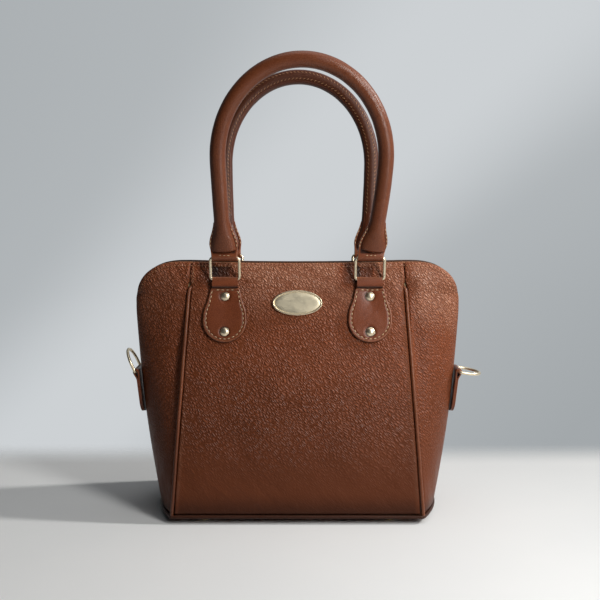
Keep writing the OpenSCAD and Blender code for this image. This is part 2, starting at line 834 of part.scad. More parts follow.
// Rectangular ring standing on its lower bar, which lies along X at the origin
module rect_ring() {
    straight_w = ring_w - 2 * ring_corner_r;
    straight_h = ring_h - 2 * ring_corner_r;
    for (z = [0, ring_h])
        translate([0, 0, z])
            wire_bar(straight_w, wire_r);
    for (side = [-1, 1]) {
        translate([side * ring_w / 2, 0, ring_corner_r])
            cylinder(h = straight_h, r = wire_r);
        for (up = [0, 1])
            translate([side * straight_w / 2, 0, ring_corner_r + up * straight_h])
                mirror([side < 0 ? 1 : 0, 0, 0])
                    mirror([0, 0, up > 0 ? 0 : 1])
                        wire_corner(wire_r, ring_corner_r);
    }
}

module at_ring(side) {
    translate([side * ring_x, -bar_y, ring_bar_z])
        rotate([handle_lean, 0, 0])
            children();
}

module ring_front_left() color(metal_color) at_ring(-1) rect_ring();
module ring_front_right() color(metal_color) at_ring(1) rect_ring();
module ring_back_left() color(metal_color) mirror([0, 1, 0]) at_ring(-1) rect_ring();
module ring_back_right() color(metal_color) mirror([0, 1, 0]) at_ring(1) rect_ring();

// Handles, built upright on the upper ring bars, which lie along X at height zero

handle_r = handle_d / 2;
core_r = handle_r - handle_leather_t - layer_gap;
handle_sides = 12;
end_l = 34;
end_flare_w = 29;
end_t = 3.2;
leg_power = 1.4;
leg_stations = 5;
arch_stations = 20;

// Sideways place of a handle's centre line at height s, for one leg or side of the arch
function sway_at(s, sway) = sway * sin(90 * min(1, s / (arch_h + handle_r)));

function leg_half(s, arch_w) =
    arch_w / 2 - (arch_w - handle_span) / 2 * pow((arch_h - s) / arch_h, leg_power);

// The leg starts along the end piece's own direction, so the two meet face to face
function leg_point(side, s, arch_w, sway) = [side * leg_half(s, arch_w) + sway_at(s, sway), 0, s];

function arch_point(a, arch_w, sway) =
    let (s = arch_h + (handle_drop - arch_h) * sin(a))
    [-arch_w / 2 * cos(a) + sway_at(s, sway), 0, s];

function handle_path(arch_w, sway) = concat(
    [for (i = [0 : leg_stations - 1])
        leg_point(-1, end_l + (arch_h - end_l) * i / leg_stations, arch_w, sway)],
    [for (i = [0 : arch_stations]) arch_point(180 * i / arch_stations, arch_w, sway)],
    [for (i = [leg_stations - 1 : -1 : 0])
        leg_point(1, end_l + (arch_h - end_l) * i / leg_stations, arch_w, sway)]);

// Direction in which a leg leaves its end piece, as the angle from upright
function end_angle(side, arch_w, sway) =
    let (
        a = leg_point(side, end_l, arch_w, sway),
        b = leg_point(side, end_l + (arch_h - end_l) / leg_stations, arch_w, sway)
    )
    atan((b.x - a.x) / (b.z - a.z));

module handle_cover(arch_w, sway) {
    path = handle_path(arch_w, sway);
    tube(cord_rings(path, [0, 1, 0], handle_r, handle_sides),
        cord_rings(path, [0, 1, 0], handle_r - handle_leather_t, handle_sides));
}

module handle_core(arch_w, sway)
    loft(cord_rings(handle_path(arch_w, sway), [0, 1, 0], core_r, handle_sides));

// End piece: a round socket that closes the tube, and a doubled flap that flares to the
// strap's width and is folded round the ring bar
// Shares of the end piece's length and of its flare's width along the flap's outline
flap_shares = [[0.1, 0.86], [0.28, 0.99], [0.4, 0.99], [0.65, 0.76], [0.95, 0.55]];

module handle_end(side, arch_w, sway) {
    top = leg_point(side, end_l, arch_w, sway);
    turn = end_angle(side, arch_w, sway);
    bar_x = side * handle_span / 2;
    function edge(p, way) =
        [bar_x + (top.x - bar_x) * p[0] + way * p[1] * end_flare_w / 2, p[0] * end_l];
    outline = concat(
        [for (p = flap_shares) edge(p, 1)],
        [for (i = [len(flap_shares) - 1 : -1 : 0]) edge(flap_shares[i], -1)]);
    difference() {
        union() {
            translate(top)
                rotate([0, turn, 0])
                    mirror([0, 0, 1]) {
                        cylinder(h = end_l - 2 * handle_r, r = handle_r);
                        translate([0, 0, end_l - 2 * handle_r])
                            sphere(r = handle_r);
                    }
            translate([0, end_t / 2, 0])
                rotate([90, 0, 0])
                    linear_extrude(end_t)
                        polygon(outline);
            translate([bar_x, 0, 0])
                wire_bar(strap_w, loop_r);
            translate([bar_x - strap_w / 2, -end_t / 2, 0])
                cube([strap_w, end_t, neck_start]);
        }
        translate([bar_x, 0, 0])
            wire_bar(strap_w + cut, wire_r + loop_clear);
    }
}

module at_handle() {
    translate([0, -bar_y - ring_h * sin(handle_lean), ring_bar_z + ring_h * cos(handle_lean)])
        rotate([handle_lean, 0, 0])
            children();
}

module front_handle_cover() color(leather_color)
    at_handle() handle_cover(front_arch_w, front_sway);
module front_handle_core() color(cloth_color)
    at_handle() handle_core(front_arch_w, front_sway);
module front_handle_end_left() color(leather_color)
    at_handle() handle_end(-1, front_arch_w, front_sway);
module front_handle_end_right() color(leather_color)
    at_handle() handle_end(1, front_arch_w, front_sway);
module back_handle_cover() color(leather_color)
    mirror([0, 1, 0]) at_handle() handle_cover(back_arch_w, back_sway);
module back_handle_core() color(cloth_color)
    mirror([0, 1, 0]) at_handle() handle_core(back_arch_w, back_sway);
module back_handle_end_left() color(leather_color)
    mirror([0, 1, 0]) at_handle() handle_end(-1, back_arch_w, back_sway);
module back_handle_end_right() color(leather_color)
    mirror([0, 1, 0]) at_handle() handle_end(1, back_arch_w, back_sway);

// Side rings and their tabs

side_wire_d = 3;
side_wire_r = side_wire_d / 2;
side_loop_r = side_wire_r + loop_clear + loop_leather_t;
side_surface = side_half(side_ring_z);
side_tilt = atan((side_surface - side_half(side_ring_z - side_tab_l)) / side_tab_l);
side_bar_x = side_surface + side_loop_r + seat_gap + side_tab_lift;
side_tab_tilt = side_tilt + atan(side_tab_lift / side_tab_l);
side_bend_r = 2;

// Ring with its bar along Y at the origin and its round end upwards
module side_ring() {
    half_w = side_ring_w / 2;
    rotate([90, 0, 0])
        cylinder(h = side_ring_w - 2 * side_bend_r, r = side_wire_r, center = true);
    for (side = [-1, 1]) {
        translate([0, side * half_w, side_bend_r])
            cylinder(h = side_ring_arm - side_bend_r, r = side_wire_r);
        translate([0, side * (half_w - side_bend_r), side_bend_r])
            rotate([0, 0, side * 90])
                mirror([0, 0, 1])
                    wire_corner(side_wire_r, side_bend_r);
    }
    translate([0, 0, side_ring_arm])
        rotate([90, 0, 90])
            rotate_extrude(angle = 180)
                translate([half_w, 0])
                    circle(r = side_wire_r);
}

module side_tab() {
    tab_end_r = side_tab_w / 2;
    translate([side_bar_x, 0, side_ring_z])
        rotate([0, side_tab_tilt, 0])
            difference() {
                union() {
                    rotate([90, 0, 0])
                        cylinder(h = side_tab_w, r = side_loop_r, center = true);
                    translate([-side_loop_r, -side_tab_w / 2, -side_tab_l + tab_end_r])
                        cube([side_tab_t, side_tab_w, side_tab_l - tab_end_r]);
                    translate([-side_loop_r, 0, -side_tab_l + tab_end_r])
                        rotate([0, 90, 0])
                            cylinder(h = side_tab_t, r = tab_end_r);
                }
                rotate([90, 0, 0])
                    cylinder(h = side_tab_w + cut, r = side_wire_r + loop_clear, center = true);
            }
}

module side_tab_right() color(leather_color) side_tab();
module side_tab_left() color(leather_color) mirror([1, 0, 0]) side_tab();
module side_ring_right() color(metal_color)
    translate([side_bar_x, 0, side_ring_z]) rotate([0, right_ring_angle, 0]) side_ring();
module side_ring_left() color(metal_color) mirror([1, 0, 0])
    translate([side_bar_x, 0, side_ring_z]) rotate([0, left_ring_angle, 0]) side_ring();

// Oval badge with a raised rim, held by two prongs through the front panel

badge_rim = 2;
badge_rim_h = 0.6;
badge_points = 48;
prong_r = 0.8;
prong_x = badge_w / 4;
badge_share = share_of(badge_z);
badge_low = panel_out(share_of(badge_z - badge_h / 2), 0);
badge_high = panel_out(share_of(badge_z + badge_h / 2), 0);
badge_tilt = atan((badge_low - badge_high) / badge_h);

module at_badge() {
    translate([0, -panel_out(badge_share, 0), badge_z])
        rotate([-badge_tilt, 0, 0])
            rotate([90, 0, 0])
                children();
}

module oval(w, h) polygon([for (i = [0 : badge_points - 1])
    [w / 2 * cos(360 * i / badge_points), h / 2 * sin(360 * i / badge_points)]]);

module badge() color(metal_color) at_badge() {
    translate([0, 0, seat_gap]) {
        linear_extrude(badge_t)
            oval(badge_w, badge_h);
        linear_extrude(badge_t + badge_rim_h)
            difference() {
                oval(badge_w, badge_h);
                oval(badge_w - 2 * badge_rim, badge_h - 2 * badge_rim);
            }
    }
    for (side = [-1, 1])
        translate([side * prong_x, 0, -rivet_depth])
            cylinder(h = rivet_depth + seat_gap + badge_t / 2, r = prong_r);
}

module badge_holes() at_badge() for (side = [-1, 1])
    translate([side * prong_x, 0, -rivet_depth - cut])
        cylinder(h = rivet_depth + 2 * cut, r = prong_r + loop_clear);

front_panel();
back_panel();
wing_front_left();
wing_front_right();
wing_back_left();
wing_back_right();
base_panel();
base_board();
front_board();
back_board();
lining_front();
lining_back();
lining_base();
inner_pocket();
piping_front_left();
piping_front_right();
piping_back_left();
piping_back_right();
base_piping();
zip_facing_front();
zip_facing_back();
zip_end_left();
zip_end_right();
zip_tape_front();
zip_tape_back();
zip_teeth_front();
zip_teeth_back();
zip_stops();
zip_slider();
zip_pull();
chape_front_left();
chape_front_right();
chape_back_left();
chape_back_right();
rivets_front();
rivets_back();
ring_front_left();
ring_front_right();
ring_back_left();
ring_back_right();
front_handle_cover();
front_handle_core();
front_handle_end_left();
front_handle_end_right();
back_handle_cover();
back_handle_core();
back_handle_end_left();
back_handle_end_right();
side_tab_left();
side_tab_right();
side_ring_left();
side_ring_right();
badge();
feet();
foot_nuts();
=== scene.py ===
"""Looks of a leather top handle bag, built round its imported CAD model.

Sizes are in millimetres in the model's own frame: the front faces -Y, up is +Z and the feet
stand on z = 0. Every piece is scaled to metres when it is finished.
"""

import logging
import math
from bisect import bisect_right
from dataclasses import dataclass
from enum import Enum
from functools import partial
from typing import Any, Callable, Optional, Sequence, Union

import bmesh
import bpy
from mathutils import Matrix, Vector, noise

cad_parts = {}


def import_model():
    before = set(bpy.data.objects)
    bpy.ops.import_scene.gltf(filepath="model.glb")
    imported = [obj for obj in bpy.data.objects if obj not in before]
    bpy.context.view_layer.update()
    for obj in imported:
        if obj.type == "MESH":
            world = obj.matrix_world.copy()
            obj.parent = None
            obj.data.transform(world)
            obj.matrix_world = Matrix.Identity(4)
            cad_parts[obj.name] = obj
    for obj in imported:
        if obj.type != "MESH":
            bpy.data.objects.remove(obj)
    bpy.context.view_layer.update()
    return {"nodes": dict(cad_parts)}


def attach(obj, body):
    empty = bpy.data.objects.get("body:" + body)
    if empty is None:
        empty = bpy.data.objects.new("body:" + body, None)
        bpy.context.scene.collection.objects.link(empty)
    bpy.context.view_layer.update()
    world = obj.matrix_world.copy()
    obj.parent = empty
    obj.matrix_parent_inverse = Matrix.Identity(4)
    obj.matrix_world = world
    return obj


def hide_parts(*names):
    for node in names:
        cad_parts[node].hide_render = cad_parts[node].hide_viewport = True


LOG = logging.getLogger("bag")
MM = 0.001
SHARP = math.radians(50)

# Two shares give a point, two numbers give one, and an angle and an inset give a point of a rim
Place = Callable[[float, float], Vector]
Measure = Callable[[float, float], float]
Rim = Callable[[float, float], tuple[float, float]]
Rows = Sequence[tuple[float, float]]


class Body(Enum):
    """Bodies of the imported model."""

    SHELL = "shell"
    FRONT_RING_LEFT = "front_ring_left"
    FRONT_RING_RIGHT = "front_ring_right"
    FRONT_HANDLE = "front_handle"
    BACK_RING_LEFT = "back_ring_left"
    BACK_RING_RIGHT = "back_ring_right"
    BACK_HANDLE = "back_handle"
    LEFT_SIDE_RING = "left_side_ring"
    RIGHT_SIDE_RING = "right_side_ring"
    SLIDER = "slider"
    PULL = "pull"


class Slot(Enum):
    """Material slots of the record that the pieces use."""

    GRAINED = "grained_leather"
    SMOOTH = "smooth_leather"
    PIPING = "piping_leather"
    LINING = "lining_cloth"
    METAL = "light_gold_metal"
    TAPE = "zip_tape"


class Half(Enum):
    """A half of the bag that has a mirrored twin."""

    @property
    def word(self) -> str:
        """The half's word in the names of its pieces."""
        return self.name.lower()


class Face(Half):
    """The two broad sides of the bag; the value turns front sizes into back ones."""

    FRONT = 1
    BACK = -1

    @property
    def flip(self) -> str:
        """The axis to mirror a piece along that was shaped as the front's."""
        return "y" if self is Face.BACK else ""


class Side(Half):
    """Left and right as seen from the front; the value is the sign of x."""

    LEFT = -1
    RIGHT = 1

    @property
    def flip(self) -> str:
        """The axis to mirror a piece along that was shaped as the right side's."""
        return "x" if self is Side.LEFT else ""


# Small maths


def smooth(low: float, high: float, x: float) -> float:
    """A smooth step from 0 at low to 1 at high."""
    t = min(1.0, max(0.0, (x - low) / (high - low)))
    return t * t * (3 - 2 * t)


def mix(a: float, b: float, t: float) -> float:
    """The value at share t of the way from a to b."""
    return a + (b - a) * t


def dense_ends(t: float, power: float) -> float:
    """Moves evenly spaced values from 0 to 1 closer together at both ends."""
    side = 2 * t - 1
    return (1 + math.copysign(1 - (1 - abs(side)) ** power, side)) / 2


def ripple(x: float, y: float, z: float, size: float) -> float:
    """Soft random relief from -1 to 1 with bumps of about the given size."""
    return noise.noise(Vector((x, y, z)) / size)


def drawn(a: float, b: float, c: float, u: float) -> float:
    """The value at share u of a curve from a to c that is drawn towards b."""
    return (1 - u) ** 2 * a + 2 * u * (1 - u) * b + u * u * c


def oval_reach(angle: float, along: float, across: float, power: float) -> float:
    """Distance from the middle of a squared oval to its rim at an angle in degrees."""
    a = math.radians(angle)
    return (abs(math.cos(a) / along) ** power + abs(math.sin(a) / across) ** power) ** (-1 / power)


def last_inside(high: float, inside: Callable[[float], bool]) -> float:
    """The largest value that is still inside, found by halving.

    Args:
        high: the largest value that is tried.
        inside: says whether a value is inside; 0 is.

    Returns:
        The value.
    """
    low = 0.0
    for _ in range(30):
        middle = (low + high) / 2
        if inside(middle):
            low = middle
        else:
            high = middle
    return low


def table_value(table: Rows, x: float) -> float:
    """Reads a table along a smooth curve through its rows.

    Args:
        table: rows of (x, value), in order of x.
        x: where to read it.

    Returns:
        The value there, or that of the nearest end.
    """
    xs = [row[0] for row in table]
    last = len(table) - 1
    i = min(max(bisect_right(xs, x) - 1, 0), last - 1)

    def slope(j: int) -> float:
        """Slope of the curve at row j."""
        (x0, y0), (x1, y1) = table[max(j - 1, 0)], table[min(j + 1, last)]
        return (y1 - y0) / (x1 - x0)

    span = xs[i + 1] - xs[i]
    t = min(1.0, max(0.0, (x - xs[i]) / span))
    rest = 1 - t
    return (rest * rest * (1 + 2 * t) * table[i][1] + t * t * (3 - 2 * t) * table[i + 1][1]
            + t * rest * (rest * slope(i) - t * slope(i + 1)) * span)


class Path:
    """A polyline that is read by its length.

    Args:
        points: the corners, in order.
    """

    def __init__(self, points: Sequence[Vector]) -> None:
        """Measures how far along the path each corner lies."""
        self.points = [Vector(p) for p in points]
        self.marks = [0.0]
        for a, b in zip(self.points, self.points[1:]):
            self.marks.append(self.marks[-1] + (b - a).length)

    @property
    def length(self) -> float:
        """Whole length of the path."""
        return self.marks[-1]

    def at(self, distance: float) -> Vector:
        """Reads the path.

        Args:
            distance: how far along it.

        Returns:
            The point there, or the nearest end.
        """
        d = min(max(distance, 0.0), self.length)
        i = min(max(bisect_right(self.marks, d) - 1, 0), len(self.points) - 2)
        span = self.marks[i + 1] - self.marks[i]
        return self.points[i].lerp(self.points[i + 1], (d - self.marks[i]) / span if span else 0)

    def heading(self, distance: float, reach: float = 1.5) -> Vector:
        """The direction of the path at a distance along it."""
        return (self.at(distance + reach) - self.at(distance - reach)).normalized()

    def below(self, distance: float, depth: float, reach: float = 2.5) -> Vector:
        """The point at a depth below the path, square to it in the x-z plane."""
        way = self.heading(distance, reach)
        return self.at(distance) + depth * Vector((way.z, 0, -way.x))


# Finishes


def linear(hex_colour: str) -> tuple[float, float, float, float]:
    """Turns an sRGB hex colour into linear RGBA."""
    parts = [int(hex_colour[i:i + 2], 16) / 255 for i in (0, 2, 4)]
    r, g, b = (p / 12.92 if p <= 0.04045 else ((p + 0.055) / 1.055) ** 2.4 for p in parts)
    return (r, g, b, 1.0)


def set_up(tree: bpy.types.NodeTree, node: bpy.types.Node, settings: dict, links: dict) -> None:
    """Gives a node its settings and links.

    Args:
        tree: the node tree.
        node: the node.
        settings: attribute or input socket name (or index) to value.
        links: input socket name (or index) to the output socket that feeds it.
    """
    for key, value in settings.items():
        if isinstance(key, str) and hasattr(node, key):
            setattr(node, key, value)
        else:
            node.inputs[key].default_value = value
    for key, source in links.items():
        tree.links.new(source, node.inputs[key])


def add_node(tree: bpy.types.NodeTree, kind: str, settings: Optional[dict] = None,
             links: Optional[dict] = None, out: Union[int, str, None] = 0) -> Any:
    """Adds a node.

    Args:
        tree: the node tree.
        kind: the node's type name after the word ShaderNode.
        settings: attribute or input socket name (or index) to value.
        links: input socket name (or index) to the output socket that feeds it.
        out: name or index of the output socket that is wanted, or None for all of them.

    Returns:
        That socket, or the list of sockets.
    """
    made = tree.nodes.new("ShaderNode" + kind)
    set_up(tree, made, settings or {}, links or {})
    return made.outputs if out is None else made.outputs[out]


def blank_material(name: str) -> tuple[bpy.types.Material, bpy.types.NodeTree, bpy.types.Node]:
    """A new material with its tree and its shader node."""
    material = bpy.data.materials.new(name)
    material.use_nodes = True
    tree = material.node_tree
    return material, tree, tree.nodes["Principled BSDF"]


@dataclass(frozen=True)
class Leather:
    """Vegetable tanned cowhide: pebbles parted by fine creases, and a waxy, broken sheen."""

    name: str
    base: str
    dark: str
    light: str
    worn_and_sheen: str
    grain_mm: float
    grain_deep_mm: float
    crease_share: float
    roughness: float
    pore_mm: float = 0.7
    stretch: float = 1.0
    patch_share: float = 0.35
    specular: float = 0.3
    fade_and_shade_low: bool = False

    def build(self) -> bpy.types.Material:
        """Makes the material."""
        material, tree, shader = blank_material(self.name)
        add = partial(add_node, tree)
        where = add("TexCoord", out="Object")
        # The hide was stretched aslant, so the pebbles run down to the right
        turned = add("Mapping", {
            "vector_type": "TEXTURE", "Rotation": (0.0, math.radians(-46), 0.0),
            "Scale": (1.0, 1.0, self.stretch)}, {"Vector": where})
        sway = add("TexNoise", {
            "Scale": 1 / (3 * self.grain_mm * MM), "Detail": 2.0}, {"Vector": turned}, out="Color")
        bent = add("VectorMath", {
            "operation": "MULTIPLY_ADD", 1: (0.8 * self.grain_mm * MM,) * 3}, {0: sway, 2: turned})
        cells = add("TexVoronoi", {
            "feature": "DISTANCE_TO_EDGE", "Scale": 1 / (self.grain_mm * MM), "Randomness": 1.0},
            {"Vector": bent}, out="Distance")
        pebble = add("MapRange", {
            "interpolation_type": "SMOOTHSTEP", "From Min": 0.0, "From Max": self.crease_share},
            {"Value": cells})
        pores = add("TexNoise", {
            "Scale": 1 / (self.pore_mm * MM), "Detail": 4.0, "Roughness": 0.65}, {"Vector": where},
            out="Fac")
        # Broad folds of the hide, some 14 mm apart
        folds = add("TexNoise", {
            "Scale": 1 / (14 * MM), "Detail": 3.0, "Distortion": 0.4}, {"Vector": turned}, out="Fac")
        patch = add("TexNoise", {"Scale": 1 / (45 * MM), "Detail": 2.0}, {"Vector": where}, out="Fac")
        crease = add("MapRange", {
            "From Min": 0.0, "From Max": 0.4 * self.crease_share, "To Min": 0.1}, {"Value": cells})
        depth = pebble
        if self.fade_and_shade_low:
            # The grain is pressed flat towards the base, where the panel is pulled tight
            height = add("SeparateXYZ", {}, {0: where}, out="Z")
            keep = add("MapRange", {
                "interpolation_type": "SMOOTHSTEP", "From Min": 18 * MM, "From Max": 120 * MM,
                "To Min": 0.1, "To Max": 1.0}, {"Value": height})
            crease = add("Mix", {"data_type": "FLOAT", 2: 1.0}, {0: keep, 3: crease})
            depth = add("Math", {"operation": "MULTIPLY"}, {0: pebble, 1: keep})
        relief = add("Math", {"operation": "MULTIPLY_ADD", 1: 0.12}, {0: pores, 2: depth})
        relief = add("Math", {"operation": "MULTIPLY_ADD", 1: 1.3}, {0: folds, 2: relief})
        bump = add("Bump", {"Strength": 1.0, "Distance": self.grain_deep_mm * MM}, {"Height": relief})
        wear = add("Attribute", {"attribute_name": "wear"}, out="Fac")
        # The creases between the pebbles are mixed towards the dark colour: grain colour and painted shade
        # in the creases, on top of the bump
        tone = add("Mix", {
            "data_type": "RGBA", 6: linear(self.dark), 7: linear(self.base)}, {0: crease}, out=2)
        lit = add("MapRange", {
            "From Min": 0.4, "From Max": 0.75, "To Max": self.patch_share}, {"Value": patch})
        tone = add("Mix", {"data_type": "RGBA", 7: linear(self.light)}, {0: lit, 6: tone}, out=2)
        # Only the crests of the grain and of the folds take the paler colour: scuffing on edges and
        # piping, and a painted sheen on the upper panels and wings
        crest = add("MapRange", {"From Min": 0.15, "From Max": 0.55}, {"Value": folds})
        crest = add("Math", {"operation": "MULTIPLY"}, {0: crest, 1: crease})
        rub_and_painted_light = add("Math", {"operation": "MULTIPLY", "use_clamp": True}, {0: wear, 1: crest})
        tone = add("Mix", {"data_type": "RGBA", 7: linear(self.worn_and_sheen)}, {0: rub_and_painted_light, 6: tone}, out=2)
        # Below zero the attribute is painted shade: the colour is darkened where shade falls, in folds,
        # along seams, under and behind the hardware and towards the base
        painted_shade_scale = add("MapRange", {
            "From Min": -1.0, "From Max": 0.0, "To Min": 0.1, "To Max": 1.0}, {"Value": wear})
        tone = add("VectorMath", {"operation": "SCALE"}, {0: tone, "Scale": painted_shade_scale})
        gloss = add("MapRange", {
            "From Min": 0.3, "From Max": 0.7, "To Min": self.roughness + 0.07,
            "To Max": self.roughness - 0.06}, {"Value": folds})
        gloss = add("Math", {"operation": "MULTIPLY_ADD", 1: -0.08}, {0: rub_and_painted_light, 2: gloss})
        if self.fade_and_shade_low:
            # Painted shade: the colour darkens towards the base, where less light falls
            painted_low_shade = add("MapRange", {
                "interpolation_type": "SMOOTHSTEP", "From Min": 0.0, "From Max": 190 * MM,
                "To Min": 0.55, "To Max": 1.0}, {"Value": height})
            tone = add("VectorMath", {"operation": "SCALE"}, {0: tone, "Scale": painted_low_shade})
        set_up(tree, shader, {"Specular IOR Level": self.specular},
               {"Base Color": tone, "Roughness": gloss, "Normal": bump})
        return material


@dataclass(frozen=True)
class Plating:
    """Light gold plated zinc: bright, with hairline scratches, or satin brushed along x."""

    name: str
    base: str
    roughness: float
    brushed: bool = False

    def build(self) -> bpy.types.Material:
        """Makes the material."""
        material, tree, shader = blank_material(self.name)
        add = partial(add_node, tree)
        where = add("TexCoord", out="Object")
        # Brush lines are some 0.5 mm apart, drawn coarser than real ones so that they show
        stretch = (0.04, 1.0, 1.0) if self.brushed else (1.0, 0.25, 0.4)
        lines = add("Mapping", {"Scale": stretch}, {"Vector": where})
        scratch = add("TexNoise", {
            "Scale": 1 / (0.5 * MM), "Detail": 5.0, "Roughness": 0.7}, {"Vector": lines}, out="Fac")
        dull = add("TexNoise", {"Scale": 1 / (9 * MM), "Detail": 3.0}, {"Vector": where}, out="Fac")
        both = add("Math", {"operation": "MULTIPLY_ADD", 1: 0.5}, {0: scratch, 2: dull})
        rough = add("MapRange", {
            "From Min": 0.45, "From Max": 1.05, "To Min": self.roughness - 0.06,
            "To Max": self.roughness + 0.12}, {"Value": both})
        bump = add("Bump", {
            "Strength": 0.5 if self.brushed else 0.15, "Distance": 0.03 * MM}, {"Height": scratch})
        set_up(tree, shader, {"Base Color": linear(self.base), "Metallic": 1.0},
               {"Roughness": rough, "Normal": bump})
        return material


@dataclass(frozen=True)
class Cloth:
    """Woven cloth: threads cross over and under, with a little fuzz and uneven dye."""

    name: str
    base: str
    dark: str
    thread_mm: float
    roughness: float = 0.85

    def build(self) -> bpy.types.Material:
        """Makes the material."""
        material, tree, shader = blank_material(self.name)
        add = partial(add_node, tree)
        where = add("TexCoord", out="Object")
        spin = add("Mapping", {"Rotation": (0.0, math.radians(45), 0.0)}, {"Vector": where})
        waves = [add("TexWave", {
            "bands_direction": way, "Scale": 0.314 / (2 * self.thread_mm * MM), "Distortion": 0.6,
            "Detail": 1.0}, {"Vector": spin}, out="Fac") for way in ("X", "Z")]
        weave = add("Math", {"operation": "MULTIPLY"}, {0: waves[0], 1: waves[1]})
        fuzz = add("TexNoise", {"Scale": 1 / (6 * MM), "Detail": 5.0}, {"Vector": where}, out="Fac")
        shade = add("Math", {"operation": "MULTIPLY_ADD", 1: 0.6}, {0: weave, 2: fuzz})
        tone = add("Mix", {
            "data_type": "RGBA", 6: linear(self.dark), 7: linear(self.base)}, {0: shade}, out=2)
        bump = add("Bump", {"Strength": 0.7, "Distance": 0.15 * MM}, {"Height": weave})
        set_up(tree, shader, {"Roughness": self.roughness, "Sheen Weight": 0.2},
               {"Base Color": tone, "Normal": bump})
        return material


@dataclass(frozen=True)
class Plain:
    """A matte stuff with mottled colour: waxed thread or pressed board."""

    name: str
    base: str
    dark: str
    mottle_mm: float
    roughness: float

    def build(self) -> bpy.types.Material:
        """Makes the material."""
        material, tree, shader = blank_material(self.name)
        add = partial(add_node, tree)
        where = add("TexCoord", out="Object")
        spots = add("TexNoise", {
            "Scale": 1 / (self.mottle_mm * MM), "Detail": 4.0}, {"Vector": where}, out="Fac")
        tone = add("Mix", {
            "data_type": "RGBA", 6: linear(self.dark), 7: linear(self.base)}, {0: spots}, out=2)
        bump = add("Bump", {"Strength": 0.3, "Distance": 0.1 * self.mottle_mm * MM}, {"Height": spots})
        set_up(tree, shader, {"Roughness": self.roughness}, {"Base Color": tone, "Normal": bump})
        return material


@dataclass(frozen=True)
class FloorPaint:
    """Pale, matte, a little cloudy floor paint; the camera sees it fade into the backdrop."""

    fade_y: tuple[float, float] = (120.0, 215.0)
    bounce: float = 0.45

    def build(self) -> bpy.types.Material:
        """Makes the material."""
        material, tree, shader = blank_material("Painted_floor")
        add = partial(add_node, tree)
        where = add("TexCoord", out="Object")
        cloud = add("TexNoise", {"Scale": 1 / (160 * MM), "Detail": 3.0}, {"Vector": where}, out="Fac")
        tone = add("Mix", {
            "data_type": "RGBA", 6: linear("E0E2E3"), 7: linear("E8E9E9")}, {0: cloud}, out=2)
        # The pale floor is a backdrop: it throws less light on the bag than the camera sees
        rays = add("LightPath", out=None)
        seen = add("Math", {"operation": "ADD"}, {0: rays["Is Camera Ray"], 1: rays["Is Glossy Ray"]})
        seen = add("Math", {
            "operation": "ADD", "use_clamp": True}, {0: seen, 1: rays["Is Transmission Ray"]})
        share = add("MapRange", {"To Min": self.bounce, "To Max": 1.0}, {"Value": seen})
        tone = add("VectorMath", {"operation": "SCALE"}, {0: tone, "Scale": share})
        set_up(tree, shader, {"Roughness": 0.75, "Specular IOR Level": 0.25}, {"Base Color": tone})
        depth = add("SeparateXYZ", {}, {0: where}, out="Y")
        far = add("MapRange", {
            "interpolation_type": "SMOOTHSTEP", "From Min": self.fade_y[0] * MM,
            "From Max": self.fade_y[1] * MM}, {"Value": depth})
        fade = add("Math", {"operation": "MULTIPLY"}, {0: far, 1: rays["Is Camera Ray"]})
        clear = add("BsdfTransparent")
        both = add("MixShader", {}, {0: fade, 1: shader.outputs[0], 2: clear})
        tree.links.new(both, tree.nodes["Material Output"].inputs["Surface"])
        return material


@dataclass(frozen=True)
class Look:
    """A built material and the record's slot that it stands for."""

    material: bpy.types.Material
    slot: Slot


class Wardrobe:
    """Every look of the bag, its material built once."""

    def __init__(self) -> None:
        """Builds the materials."""
        self.panel = Look(Leather(
            "Grained_cowhide", "87482A", "5A2B11", "8F4E30", "AE785E", 2.0, 0.85, 0.5, 0.44,
            stretch=2.7, specular=0.2, fade_and_shade_low=True).build(), Slot.GRAINED)
        self.strap = Look(Leather(
            "Smooth_cowhide", "7E4126", "64311B", "864828", "9C684A", 1.6, 0.05, 0.4, 0.36,
            specular=0.38).build(), Slot.SMOOTH)
        self.roll = Look(Leather(
            "Handle_cowhide", "69331A", "542812", "71391E", "8A583A", 1.9, 0.1, 0.4, 0.35,
            specular=0.38).build(), Slot.SMOOTH)
        self.strip = Look(Leather(
            "Sewn_strip_cowhide", "512A18", "3A1C0E", "5A301C", "6E452C", 1.6, 0.08, 0.4, 0.45,
            specular=0.25).build(), Slot.SMOOTH)
        # The base piping uses the darker strip leather as painted shade, for the shade under the bag
        self.base_cord = Look(self.strip.material, Slot.PIPING)
        self.cord = Look(Leather(
            "Piping_cowhide", "784024", "5C2E18", "7E4426", "965F3F", 1.4, 0.05, 0.4, 0.38,
            specular=0.4).build(), Slot.PIPING)
        self.edge = Look(Leather(
            "Turned_edge_cowhide", "87502F", "6A391E", "905A38", "A67552", 1.4, 0.05, 0.4,
            0.42).build(), Slot.SMOOTH)
        self.metal = Look(Plating("Light_gold_plating", "E4D5B8", 0.3).build(), Slot.METAL)
        self.satin = Look(Plating(
            "Satin_gold_plating", "E4D9BE", 0.46, brushed=True).build(), Slot.METAL)
        self.lining = Look(Cloth("Cotton_lining", "A98F6B", "8A7252", 0.5).build(), Slot.LINING)
        self.tape = Look(Cloth("Zip_tape", "4A2F20", "33201A", 0.45).build(), Slot.TAPE)
        self.thread = Look(Plain("Waxed_thread", "D8BC98", "B08C66", 0.5, 0.6).build(), Slot.SMOOTH)
        self.brown_thread = Look(Plain(
            "Brown_thread", "B4845C", "8A5F42", 0.5, 0.6).build(), Slot.SMOOTH)
        self.board = Plain("Fibre_board", "6B6156", "544B42", 1.2, 0.9).build()


# Meshes


